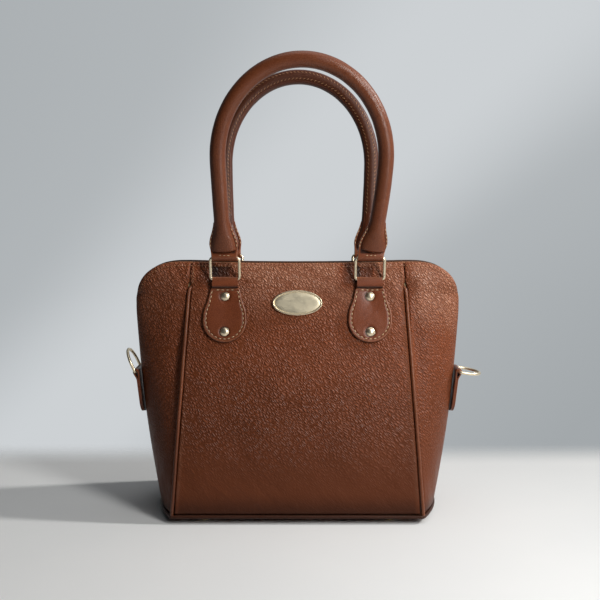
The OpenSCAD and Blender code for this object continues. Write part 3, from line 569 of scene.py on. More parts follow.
class Workpiece:
    """A mesh in the making, in millimetres."""

    def __init__(self) -> None:
        """Starts an empty mesh."""
        self.bm = bmesh.new()
        self.bm.loops.layers.uv.new("UVMap")
        self.wear = self.bm.verts.layers.float.new("wear")

    def grid(self, cols: int, rows: int, place: Place, wear: Optional[Measure] = None) -> None:
        """Adds a grid and moves each point to where place puts its two shares.

        Args:
            cols: faces along the first share.
            rows: faces along the second share.
            place: gives a point for two shares from 0 to 1.
            wear: gives how scuffed the point is, or its painted sheen, up to 1, or its painted shade, down
                to -1.
        """
        made = bmesh.ops.create_grid(
            self.bm, x_segments=cols, y_segments=rows, size=0.5,
            matrix=Matrix.Translation((0.5, 0.5, 0)), calc_uvs=True)["verts"]
        for vert in made:
            u, v = vert.co.x, vert.co.y
            vert.co = place(u, v)
            if wear:
                vert[self.wear] = wear(u, v)

    def tube(self, path: Path, radius: Measure, sides: int, steps: int, across: Vector,
             closed: bool = False, cap: float = 0.0, wear: float = 0.0) -> None:
        """Adds a round cord along a path, with rounded ends unless it is closed.

        Args:
            path: the centre line.
            radius: radius for an angle in degrees and a distance along the path.
            sides: faces round the cord.
            steps: faces along the cord.
            across: a direction that the path never follows; 90 degrees lies that way.
            closed: whether the path is a loop.
            cap: length over which an end is rounded; the cord's radius where it is zero.
            wear: how scuffed the cord is, or below zero its painted shade.
        """
        whole = path.length

        def place(u: float, v: float) -> Vector:
            """The point at the two shares."""
            share = v if closed else dense_ends(v, 1.5)
            d = share * whole
            centre = path.at(d)
            if closed:
                ahead, behind = path.at((d + 0.6) % whole), path.at((d - 0.6) % whole)
                along = (ahead - behind).normalized()
            else:
                along = path.heading(d, 1.0)
            out = across.cross(along).normalized()
            up = along.cross(out)
            angle = 360 * u
            r = radius(angle, d)
            if not closed:
                end = min(d, whole - d)
                full = cap or radius(angle, whole / 2)
                if end < full:
                    r *= math.sqrt(max(0.0, 1 - (1 - end / full) ** 2))
            a = math.radians(angle)
            return centre + r * (math.cos(a) * out + math.sin(a) * up)

        self.grid(sides, steps, place, (lambda u, v: wear) if wear else None)

    def disc(self, rim: Rim, profile: Rows, spokes: int,
             place: Callable[[float, float, float], Vector], rings: int = 6,
             wear: Optional[Callable[[float, float, float], float]] = None) -> None:
        """Adds a closed plate with a shaped rim.

        Args:
            rim: point (x, y) at an angle in degrees and a distance in from the rim.
            profile: (distance in from the rim, height) rows, from inside to the foot of the rim.
            spokes: faces round the plate.
            place: gives a point for flat coordinates and a height.
            rings: faces from the centre to the first row of the profile.
            wear: gives the scuffing and painted light of a point, for flat coordinates and the distance
                from the rim.
        """
        inner, top = profile[0]
        rows = [(i / rings, inner, top) for i in range(rings)]
        rows += [(1.0, inset, height) for inset, height in profile]
        rows += [(1.0, profile[-1][0] + 0.6, 0.0), (0.0, inner, 0.0)]

        def spot(u: float, v: float) -> Vector:
            """The point at the two shares."""
            share, inset, height = rows[round(v * (len(rows) - 1))]
            x, y = rim(360 * u, inset)
            return place(share * x, share * y, height)

        def rub_and_painted_light(u: float, v: float) -> float:
            """Scuffing and painted light of the point at the two shares."""
            share, inset, _ = rows[round(v * (len(rows) - 1))]
            x, y = rim(360 * u, inset)
            return wear(share * x, share * y, inset if share == 1 else 9.0)

        self.grid(spokes, len(rows) - 1, spot, rub_and_painted_light if wear else None)

    def bead(self, centre: Vector, along: Vector, normal: Vector, size: Vector) -> None:
        """Adds one stitch: a long rounded bead lying on a surface."""
        third = normal.cross(along).normalized()
        turn = Matrix((along, third, normal)).transposed().to_4x4()
        bmesh.ops.create_uvsphere(
            self.bm, u_segments=6, v_segments=4, radius=1.0,
            matrix=Matrix.Translation(centre) @ turn @ Matrix.Diagonal((*size, 1)))

    def block(self, centre: Vector, size: Vector, round_by: float, segments: int = 2) -> None:
        """Adds a box with rounded edges."""
        made = bmesh.ops.create_cube(
            self.bm, size=1, matrix=Matrix.Translation(centre) @ Matrix.Diagonal((*size, 1)))["verts"]
        edges = list({e for v in made for e in v.link_edges})
        bmesh.ops.bevel(
            self.bm, geom=edges, offset=round_by, offset_type="OFFSET", segments=segments,
            profile=0.5, affect="EDGES", material=-1, clamp_overlap=True)

    def turned(self, profile: Rows, steps: int, to_place: Matrix) -> None:
        """Adds a lathe-turned shape.

        Args:
            profile: (radius, height) rows.
            steps: faces round the axis.
            to_place: moves the shape from the origin, axis up, to its place.
        """
        verts = [self.bm.verts.new((r, 0, h)) for r, h in profile]
        edges = [self.bm.edges.new(pair) for pair in zip(verts, verts[1:])]
        spun = bmesh.ops.spin(
            self.bm, geom=verts + edges, cent=(0, 0, 0), axis=(0, 0, 1), dvec=(0, 0, 0),
            angle=math.tau, steps=steps, use_merge=True)
        linked = set(verts) | {x for x in spun["geom_last"] if isinstance(x, bmesh.types.BMVert)}
        grown = set(linked)
        while grown:
            grown = {e.other_vert(v) for v in grown for e in v.link_edges} - linked
            linked |= grown
        bmesh.ops.transform(self.bm, matrix=to_place, verts=list(linked))

    def finish(self, name: str, look: Look, replaces: Sequence[str] = (), body: Body = Body.SHELL,
               flip: str = "", thick: float = 0.0, centred: bool = False, round_by: float = 0.0,
               closed: bool = True) -> None:
        """Turns the mesh into a piece of the bag.

        Args:
            name: the piece's name.
            look: its material and slot.
            replaces: CAD nodes that it stands for.
            body: the body that it moves with.
            flip: axes to mirror, such as "y" for the back of the bag.
            thick: wall that a sheet gets, inwards.
            centred: whether the wall lies half on each side of the sheet instead.
            round_by: radius of its rounded rims.
            closed: whether a mesh with no wall is one closed shell, whose normals are made to
                point out.
        """
        bm = self.bm
        bmesh.ops.remove_doubles(bm, verts=bm.verts, dist=0.004)
        loose = [f for f in bm.faces if f.calc_area() < 1e-9]
        bmesh.ops.delete(bm, geom=loose, context="FACES")
        scale = [MM * (-1 if axis in flip else 1) for axis in "xyz"]
        bmesh.ops.scale(bm, vec=scale, verts=bm.verts)
        if len(flip) % 2:
            bmesh.ops.reverse_faces(bm, faces=bm.faces)
        if closed and not thick:
            bmesh.ops.recalc_face_normals(bm, faces=bm.faces)
        for face in bm.faces:
            face.smooth = True
        mesh = bpy.data.meshes.new(name)
        bm.to_mesh(mesh)
        bm.free()
        mesh.materials.append(look.material)
        mesh.set_sharp_from_angle(angle=SHARP)
        made = bpy.data.objects.new(name, mesh)
        bpy.context.scene.collection.objects.link(made)
        if thick:
            wall = made.modifiers.new("Wall", "SOLIDIFY")
            wall.thickness = thick * MM
            wall.offset = 0.0 if centred else -1.0
        if round_by:
            rim = made.modifiers.new("Rim", "BEVEL")
            rim.width = round_by * MM
            rim.segments = 2
            rim.limit_method = "ANGLE"
            rim.angle_limit = SHARP
        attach(made, body.value)
        if replaces:
            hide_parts(*replaces)
        LOG.info("%s: %d faces, rides on %s", name, len(mesh.polygons), body.value)


def polar(reach: float, angle: float) -> tuple[float, float]:
    """The point (x, y) at a distance and an angle in degrees from the origin."""
    return reach * math.cos(math.radians(angle)), reach * math.sin(math.radians(angle))


def stitch_row(piece: Workpiece, path: Path, normal: Callable[[float], Vector], pitch: float,
               share: float = 0.68, wide: float = 0.42, slant: float = 0.0,
               lift: float = 0.12) -> None:
    """Adds a row of stitches along a path.

    Args:
        piece: the mesh that the stitches are added to.
        path: the seam line, on the surface.
        normal: the surface's normal at a distance along the path.
        pitch: distance from stitch to stitch.
        share: share of the pitch that a stitch covers.
        wide: half width of the thread.
        slant: turn of each stitch out of the row, in degrees.
        lift: how far a stitch's middle stands off the surface.
    """
    count = max(1, int(path.length / pitch))
    for i in range(count):
        d = (i + 0.5) * path.length / count
        up = normal(d)
        along = path.heading(d)
        along = (along - along.dot(up) * up).normalized()
        if slant:
            along = Matrix.Rotation(math.radians(slant), 3, up) @ along
        jitter = 0.12 * noise.noise(Vector((d, pitch, path.length)))
        size = Vector((share * pitch / 2, wide, 0.8 * wide))
        piece.bead(path.at(d) + lift * up + jitter * up.cross(along), along, up, size)


# The bag's outline, with the same sizes as the CAD source


@dataclass(frozen=True)
class Outline:
    """Sizes of the body and the surfaces that they give."""

    body_h: float = 256.0
    base_w: float = 249.0
    base_d: float = 130.0
    top_w: float = 216.0
    mouth_d: float = 22.0
    side_base_w: float = 286.0
    shoulder_w: float = 334.0
    shoulder_len: float = 50.0
    shoulder_h: float = 47.0
    crown: float = 3.0
    swell: float = 3.5
    sag: float = 1.4
    foot_h: float = 5.0
    slot_z: float = 222.0
    piping_top: float = 231.5
    piping_r: float = 1.8
    leather_t: float = 1.6
    shoulder_power: float = 2.4
    side_bow: float = 5.0
    bow_power: float = 0.9
    wing_x: float = 0.93
    wing_y: float = 0.55
    ring_x: float = 73.0
    zip_depth: float = 8.0
    puff_out: float = 2.4
    puff_low: float = 20.0

    @property
    def wall_h(self) -> float:
        """Height of the walls."""
        return self.body_h - self.foot_h

    @property
    def shoulder_z(self) -> float:
        """Height at which the shoulders start."""
        return self.body_h - self.shoulder_h

    @property
    def flat_half(self) -> float:
        """Half the length of the level part of the mouth."""
        return self.shoulder_w / 2 - self.shoulder_len

    def share(self, z: float) -> float:
        """Share of the walls' height at height z."""
        return (z - self.foot_h) / self.wall_h

    def half_depth(self, t: float) -> float:
        """Half the body's depth at a share of its height."""
        t = min(1.0, max(0.0, t))
        return self.mouth_d / 2 + (self.base_d - self.mouth_d) / 2 * (1 - t ** 1.25)

    def panel_half(self, t: float) -> float:
        """Half the front panel's width at a share of the height."""
        return (self.base_w + (self.top_w - self.base_w) * t) / 2

    def side_half(self, z: float) -> float:
        """Half the width over the sides at height z."""
        if z <= self.shoulder_z:
            rise = max(0.0, z - self.foot_h) / (self.shoulder_z - self.foot_h)
            bow = self.side_bow * math.sin(math.pi * rise ** self.bow_power)
            return mix(self.side_base_w, self.shoulder_w, rise) / 2 + bow
        lean = max(0.0, 1 - ((z - self.shoulder_z) / self.shoulder_h) ** self.shoulder_power)
        return self.flat_half + self.shoulder_len * lean ** (1 / self.shoulder_power)

    def slot_half(self, z: float) -> float:
        """Half the slot between the front and back edges at height z."""
        rise = max(0.0, min(1.0, (z - self.slot_z) / (self.body_h - self.slot_z)))
        return self.mouth_d / 2 * (1 - (1 - rise) ** 2.6)

    def puff(self, x: float, z: float, below: float, seam: float) -> float:
        """How far the leather puffs out under the mouth's edge.

        Args:
            x: place across the bag; the chapes hold the leather flat.
            z: height.
            below: distance below the mouth's edge.
            seam: distance from the corner seam, which the leather clears under the piping's end.

        Returns:
            The distance outwards.
        """
        held = 1 - 0.85 * math.exp(-((abs(x) - self.ring_x) / 20) ** 2)
        free = mix(smooth(0, 15, seam), 1.0, smooth(self.piping_top, self.body_h - 10, z))
        fall = below / self.puff_low
        return self.puff_out * fall * math.exp(1 - fall) * held * free

    def panel_spot(self, x: float, z: float, out: float = 0.0) -> Vector:
        """The point of the front panel's outer face.

        Args:
            x: place across the bag.
            z: height.
            out: distance that it is moved out by.

        Returns:
            The point.
        """
        t = self.share(z)
        for _ in range(3):
            s = min(1.0, abs(x) / self.panel_half(t))
            t = (z - self.foot_h) / (self.wall_h - self.sag * (1 - s * s))
        crown = (self.crown + self.swell) * math.sin(math.pi * min(1.0, max(0.0, t))) ** 2
        below = max(0.0, self.wall_h * (1 - t))
        out += self.puff(x, z, below, self.panel_half(t) * (1 - s))
        return Vector((x, -self.half_depth(t) - crown * (1 - s * s) - out, z))

    def wing_spot(self, x: float, z: float) -> Vector:
        """The point of the right front wing's outer face.

        Args:
            x: place across the bag.
            z: height.

        Returns:
            The point.
        """
        t = self.share(z)
        slot = self.slot_half(z)
        ax, ay = self.panel_half(t), -self.half_depth(t)
        cx, cy = self.side_half(z), -slot
        by = cy + (ay - cy) * self.wing_y
        s = min(1.0, max(0.0, (x - ax) / max(1e-6, cx - ax)))
        k = self.wing_x
        u = (2 * k - math.sqrt(max(0.0, 4 * k * k - 4 * (2 * k - 1) * s))) / (2 * (2 * k - 1))
        y = drawn(ay, by, cy, u)
        lean = max(0.0, 1 - (max(0.0, x - self.flat_half) / self.shoulder_len) ** self.shoulder_power)
        top = self.shoulder_z + self.shoulder_h * lean ** (1 / self.shoulder_power)
        below = max(0.0, min(top - z, cx - x + 2 * max(0.0, self.slot_z - z)))
        return Vector((x, min(y - self.puff(x, z, below, x - ax), 0.0), z))

    def outer_spot(self, x: float, z: float) -> Vector:
        """The point of the front's outer face at (x, z), on the panel or on a wing."""
        if abs(x) <= self.panel_half(self.share(z)):
            return self.panel_spot(x, z)
        spot = self.wing_spot(abs(x), z)
        return Vector((math.copysign(spot.x, x), spot.y, spot.z))

    def outer_normal(self, x: float, z: float) -> Vector:
        """The outward normal of the front's outer face at (x, z)."""
        step = 1.0
        across = self.outer_spot(x + step, z) - self.outer_spot(x - step, z)
        up = self.outer_spot(x, z + step) - self.outer_spot(x, z - step)
        found = across.cross(up)
        return found.normalized() if found.y < 0 else (-found).normalized()

    def mouth_edge(self, low_z: float) -> list[Vector]:
        """Follows the mouth's edge from the left slot end to the right one.

        Args:
            low_z: height of the two slot ends.

        Returns:
            Points (x, 0, z).
        """
        last = math.degrees(math.acos(min(1.0, ((low_z - self.shoulder_z) / self.shoulder_h)
                                          ** (self.shoulder_power / 2))))
        power = 2 / self.shoulder_power
        right = []
        for i in range(31):
            turn = math.radians(last * (i / 30) ** 1.2)
            right.append(Vector((
                self.flat_half + self.shoulder_len * math.sin(turn) ** power, 0,
                self.shoulder_z + self.shoulder_h * math.cos(turn) ** power)))
        half = self.top_w / 2
        level = [Vector((x, 0, self.body_h - (self.sag * (1 - (x / half) ** 2) if abs(x) < half else 0)))
                 for x in [mix(-self.flat_half, self.flat_half, i / 40) for i in range(1, 40)]]
        left = [Vector((-p.x, 0, p.z)) for p in reversed(right)]
        return left + level + right

    def base_half(self, y: float) -> float:
        """Half the width of the base at depth y."""
        half_w, half_d = self.base_w / 2, self.base_d / 2
        side = self.side_base_w / 2
        bx, by = half_w + (side - half_w) * self.wing_x, half_d * self.wing_y
        u = last_inside(1.0, lambda share: drawn(half_d, by, 0, share) > abs(y))
        return drawn(half_w, bx, side, u)


BAG = Outline()


def front_normals(path: Path, top: float = BAG.body_h) -> Callable[[float], Vector]:
    """Reads the front's outward normal at distances along a path that lies on it.

    Args:
        path: the path.
        top: height from which on the normal stays the same.

    Returns:
        A function that gives the normal for a distance.
    """
    def normal(distance: float) -> Vector:
        """The normal at a distance."""
        spot = path.at(distance)
        return BAG.outer_normal(spot.x, min(spot.z, top))

    return normal


# The body


@dataclass
class Shell:
    """Leather walls, base, piping, turned edge and the seams of the body."""

    looks: Wardrobe
    seam_in: float = 1.3
    seam_roll: float = 2.6
    roll_deep: float = 2.3
    low_z: float = 8.4
    piping_low: float = 7.2
    seam_low: float = 146.0
    edge_stitch: float = 4.0
    stitch_pitch: float = 3.4

    def relief(self, x: float, z: float, seam: float) -> float:
        """How far the leather stands out at (x, z), at a distance from its seam."""
        soft = smooth(4, 30, seam) * smooth(self.low_z, 40, z) * smooth(256, 225, z)
        wave = 0.75 * ripple(x, 3, z, 62) + 0.3 * ripple(x, 9, z, 24)
        pucker = 0.16 * math.sin(z * math.tau / 7.5 + 2 * ripple(x, 1, z, 20))
        return soft * wave + pucker * math.exp(-seam / 3.5) * smooth(250, 225, z)

    def rolled(self, seam: float) -> float:
        """How far the leather dips beside a seam, at a distance from it."""
        edge = max(0.0, 1 - seam / self.seam_roll)
        return self.roll_deep * edge * edge

    def dip(self, seam: float, z: float, over_base: float) -> float:
        """How far the leather dips beside the corner seam and the base seam."""
        cord = smooth(BAG.piping_top + 4, BAG.piping_top - 2, z)
        return self.rolled(seam) * mix(0.45, 1.0, cord) + self.rolled(over_base)

    def trim(self, z: float) -> float:
        """How far the leather's edge stays off the corner seam, more beside the piping."""
        return self.seam_in if z < BAG.piping_top + 3 else 0.35

    def panel(self, face: Face) -> None:
        """Builds the front or back panel, which rolls in at its seams.

        Args:
            face: front or back.
        """
        piece = Workpiece()
        top = BAG.body_h - 0.6

        def place(u: float, v: float) -> Vector:
            """The point at the two shares."""
            s = 2 * dense_ends(u, 1.6) - 1
            z0 = self.low_z + (top - self.low_z) * dense_ends(v, 1.35)
            t = BAG.share(z0)
            z = z0 - BAG.sag * t * (1 - s * s)
            half = BAG.panel_half(t) - self.trim(z)
            seam = half * (1 - abs(s))
            x = half * s
            spot = BAG.panel_spot(x, z)
            dip = self.dip(seam, z, z0 - self.low_z)
            spot.y += dip - self.relief(x * face.value, z, seam) - 0.05
            return spot

        def wear(u: float, v: float) -> float:
            """Scuffing, painted sheen and painted shade of the point at the two shares."""
            s = 2 * dense_ends(u, 1.6) - 1
            z = self.low_z + (top - self.low_z) * dense_ends(v, 1.35)
            half = BAG.panel_half(BAG.share(z))
            seam, x = half * (1 - abs(s)), half * s
            # Painted shadows that the strap ends and rings cast on the panel, behind and to the left of
            # each ring
            dx = x - math.copysign(BAG.ring_x, x)
            painted_ring_shadow = smooth(-15, -12.5, dx) * smooth(7, 3, dx) * smooth(236, 239, z) * smooth(253.5, 251, z)
            painted_lee_shadow = 0.5 * smooth(-38, -22, dx) * smooth(-8, -13, dx) * smooth(222, 240, z)
            # Painted shade towards the base and beside the corner piping, added to the painted shadows
            dark = 1.4 * painted_ring_shadow + painted_lee_shadow + 0.62 * smooth(32, 9, z)
            dark += 0.75 * smooth(2.4, 0.9, seam) * smooth(BAG.piping_top + 3, BAG.piping_top - 2, z)
            # A painted sheen on the top, brightest between the handles and taken out where the painted
            # shadow left of the rings falls
            painted_top_sheen = smooth(188, 248, z) * mix(0.35, 0.95, smooth(112, 55, abs(x - 12)))
            # The rolled seam edge is a little paler: a painted highlight
            return max(painted_top_sheen * (1 - min(1.0, 2 * painted_lee_shadow)), 0.35 * smooth(7, 3, seam)) - dark

        piece.grid(132, 116, place, wear)
        piece.finish(f"{face.word}_panel_leather", self.looks.panel,
                     [f"{face.word}_panel", f"{face.word}_board"], flip=face.flip, thick=BAG.leather_t)

    def wing(self, face: Face, side: Side) -> None:
        """Builds one wing, from the corner seam to the side seam and up to the mouth's edge.

        Args:
            face: front or back.
            side: left or right.
        """
        piece = Workpiece()
        top_z = BAG.body_h - 0.5
        edge = [p for p in BAG.mouth_edge(BAG.slot_z) if p.x >= BAG.flat_half - 1]
        edge = [Vector((x, 0, BAG.body_h)) for x in (108.4, 111, 114)] + edge
        along = Path([p - Vector((0, 0, 0.5)) for p in edge])
        slot_z = BAG.slot_z - 0.5

        def left(v: float) -> Vector:
            """The point of the left rim at a share of its height."""
            z = mix(self.low_z, top_z, v)
            return Vector((BAG.panel_half(BAG.share(z)) + self.trim(z), 0, z))

        def right(v: float) -> Vector:
            """The point of the right rim at a share of its height."""
            z = mix(self.low_z, slot_z, v)
            return Vector((BAG.side_half(z), 0, z))

        def place(u: float, v: float) -> Vector:
            """The point at the two shares."""
            a, b = dense_ends(u, 1.25), v
            low = left(0).lerp(right(0), a)
            high = along.at(a * along.length)
            flat = low.lerp(high, b) + left(b).lerp(right(b), a) - (
                left(0).lerp(right(0), a).lerp(left(1).lerp(right(1), a), b))
            x, z = flat.x, flat.z
            t = BAG.share(z)
            seam = x - left(b).x if b < 1 else x - left(1).x
            spot = BAG.wing_spot(min(x, BAG.side_half(z)), z)
            normal = BAG.outer_normal(max(spot.x, BAG.panel_half(t) + 1.2), z)
            dip = self.dip(max(0.0, seam), z, z - self.low_z)
            free = smooth(0, 14, seam) * smooth(0, 16, BAG.side_half(z) - x)
            # The leather hollows beside the piping at half height and swells below
            hollow = 2.8 * math.exp(-((z - 160) / 42) ** 2) * math.exp(-(max(0.0, seam - 5) / 9) ** 2)
            swell = 1.1 * math.exp(-((z - 78) / 50) ** 2) * free
            # Small creases fan out from the upper end of the piping
            fan = math.atan2(z - 226, x - 112)
            away = math.hypot(x - 112, z - 226)
            crease = 0.34 * math.sin(16 * fan + 3 * ripple(x, z, 4, 14)) * smooth(3, 9, away)
            crease *= smooth(36, 12, away) * smooth(-1.5, -0.9, fan) * free
            sway = self.relief(x * side.value, z, max(0.0, seam)) * smooth(0, 10, BAG.side_half(z) - x)
            out = swell + sway + crease - hollow * smooth(0, 4, seam) - dip - 0.05
            moved = spot + out * normal
            moved.y = min(moved.y, 0.0)
            return moved

        def wear(u: float, v: float) -> float:
            """Scuffing, painted sheen and painted shade of the point at the two shares."""
            z = mix(self.low_z, top_z, v)
            # Painted shade towards the base and beside the corner piping
            dark = 0.6 * smooth(26, 9, z) + 0.6 * smooth(0.045, 0.02, u) * smooth(234, 226, z)
            # A painted sheen on the upper wing, faint towards the side seam
            painted_top_sheen = smooth(180, 226, z) * smooth(0.0, 0.3, u) * mix(1.0, 0.25, smooth(0.65, 1, u))
            if side is Side.LEFT:
                # Painted light: the left wing faces away from the lamps and gets little of the sheen
                painted_top_sheen *= 0.3
            return max(painted_top_sheen, 0.2 * smooth(0.95, 1, u)) - dark

        piece.grid(56, 112, place, wear)
        node = f"wing_{face.word}_{side.word}"
        piece.finish(f"{node}_leather", self.looks.panel, [node], flip=side.flip + face.flip,
                     thick=BAG.leather_t)

    def corner_piping(self, face: Face, side: Side) -> None:
        """Builds the piping of one corner seam; its upper end is tucked into the seam.

        Args:
            face: front or back.
            side: left or right.
        """
        points = []
        low, high = self.piping_low, BAG.piping_top
        for i in range(61):
            z = mix(low, high, i / 60)
            t = BAG.share(z)
            tuck = smooth(high - 7, high + 0.5, z)
            foot = smooth(low + 5, low - 2, z)
            points.append(Vector((
                BAG.panel_half(t) - 2.2 * tuck * tuck + 0.25 * ripple(z, 0, 5, 30),
                -BAG.half_depth(t) + 0.1 + 3.2 * tuck * tuck + 0.6 * foot, z)))
        piece = Workpiece()
        piece.tube(Path(points), lambda angle, d: BAG.piping_r * (1 + 0.035 * ripple(d, angle / 40, 2, 5)),
                   16, 150, Vector((0, -1, 0)))
        for vert in piece.bm.verts:
            # Painted shade: the cord darkens towards its lower end, on the left side much more, as it
            # faces away from the lamps; higher up it is paler
            low_painted_light = -0.5 if side is Side.LEFT else 0.1
            vert[piece.wear] = mix(low_painted_light, 0.35, smooth(40, 170, vert.co.z))
        node = f"piping_{face.word}_{side.word}"
        piece.finish(f"{node}_cord", self.looks.cord, [node], flip=side.flip + face.flip)

    def base(self) -> None:
        """Builds the base leather and the piping round it."""
        piece = Workpiece()

        def place(u: float, v: float) -> Vector:
            """The point at the two shares."""
            y = mix(-1, 1, v) * (BAG.base_d / 2 - 1.0)
            half = BAG.base_half(y) - 1.0
            x = mix(-1, 1, u) * half
            inner = min(half - abs(x), BAG.base_d / 2 - abs(y))
            return Vector((x, -y, BAG.foot_h + 0.6 * smooth(8, 0, inner) + 0.12 * ripple(x, y, 0, 40)))

        piece.grid(70, 36, place, lambda u, v: 0.2)
        piece.finish("base_leather", self.looks.panel, ["base_panel"], thick=BAG.leather_t)
        half_w, half_d = BAG.base_w / 2, BAG.base_d / 2
        loop = [Vector((mix(-half_w, half_w, i / 24), -half_d, 0)) for i in range(25)]
        for i in range(1, 48):
            y = -half_d * math.cos(math.pi * i / 48)
            loop.append(Vector((BAG.base_half(y), y, 0)))
        whole = loop + [Vector((-p.x, -p.y, 0)) for p in loop]
        path = Path([p + Vector((0, 0, BAG.foot_h + BAG.piping_r + 0.35 * ripple(p.x, p.y, 4, 60)))
                     for p in whole + [whole[0]]])
        # The base piping is darkened further with painted shade
        ring = Workpiece()
        ring.tube(path, lambda angle, d: BAG.piping_r * (1 + 0.03 * ripple(d, angle / 40, 7, 5)),
                  14, 420, Vector((0, 0, 1)), closed=True, wear=-0.45)
        ring.finish("base_piping_cord", self.looks.base_cord, ["base_piping"])

    def mouth_line(self, depth: float, low_z: float) -> list[Vector]:
        """Points (x, 0, z) at a depth below the mouth's edge, left to right."""
        path = Path(BAG.mouth_edge(low_z))
        return [path.below(path.length * i / 180, depth) for i in range(181)]

    def edge(self, face: Face) -> None:
        """Builds the turned edge of the mouth, which runs on down the sides as a thin seam.

        Args:
            face: front or back.
        """
        def lip(z: float) -> float:
            """How far the edge stands off the middle at height z."""
            return max(0.8, BAG.slot_half(z) - 1.5)

        points = self.mouth_line(1.2 if face is Face.FRONT else 0.75, BAG.slot_z + 0.5)
        for i in range(1, 29):
            z = mix(BAG.slot_z, self.seam_low, i / 28)
            x = BAG.side_half(z) - 0.75
            points = [Vector((-x, 0, z))] + points + [Vector((x, 0, z))]
        line = Path([Vector((p.x, -lip(p.z), p.z)) for p in points])

        def radius(angle: float, d: float) -> float:
            """Radius of the edge, squarish and thinner below the slot."""
            full = mix(0.55, 1.0, smooth(208, 228, line.at(d).z))
            return oval_reach(angle, 1.15, 1.75, 2.6) * (1 + 0.05 * ripple(d, angle / 50, 3, 6)) * full

        piece = Workpiece()
        piece.tube(line, radius, 18, 400, Vector((0, -1, 0)), wear=0.5)
        for vert in piece.bm.verts:
            # Painted shade on the side that faces into the mouth; the outer side is paler
            inward = vert.co.y + lip(vert.co.z)
            vert[piece.wear] = mix(0.5, -0.85, smooth(-0.2, 0.9, inward))
        piece.finish(f"mouth_edge_{face.word}", self.looks.edge, flip=face.flip)

    def edge_stitches(self, face: Face) -> None:
        """Builds the stitches under the turned edge and beside the panel's upper corners.

        Args:
            face: front or back.
        """
        row = self.mouth_line(self.edge_stitch, BAG.slot_z + 4)
        stitches = Workpiece()
        seam = Path([BAG.outer_spot(p.x, p.z) for p in row])
        stitch_row(stitches, seam, front_normals(seam), self.stitch_pitch, wide=0.36, lift=0.1)
        for side in Side:
            points = []
            for i in range(12):
                z = mix(BAG.piping_top + 2, BAG.body_h - 6, i / 11)
                x = side.value * (BAG.panel_half(BAG.share(z)) - 3.2)
                points.append(BAG.panel_spot(x, z))
            seam = Path(points)
            stitch_row(stitches, seam, front_normals(seam), self.stitch_pitch, wide=0.34, lift=0.1)
        stitches.finish(f"mouth_stitches_{face.word}", self.looks.brown_thread, flip=face.flip)

    def build(self) -> None:
        """Builds every piece of the shell."""
        for face in Face:
            self.panel(face)
            self.edge(face)
            self.edge_stitches(face)
            for side in Side:
                self.wing(face, side)
                self.corner_piping(face, side)
        self.base()


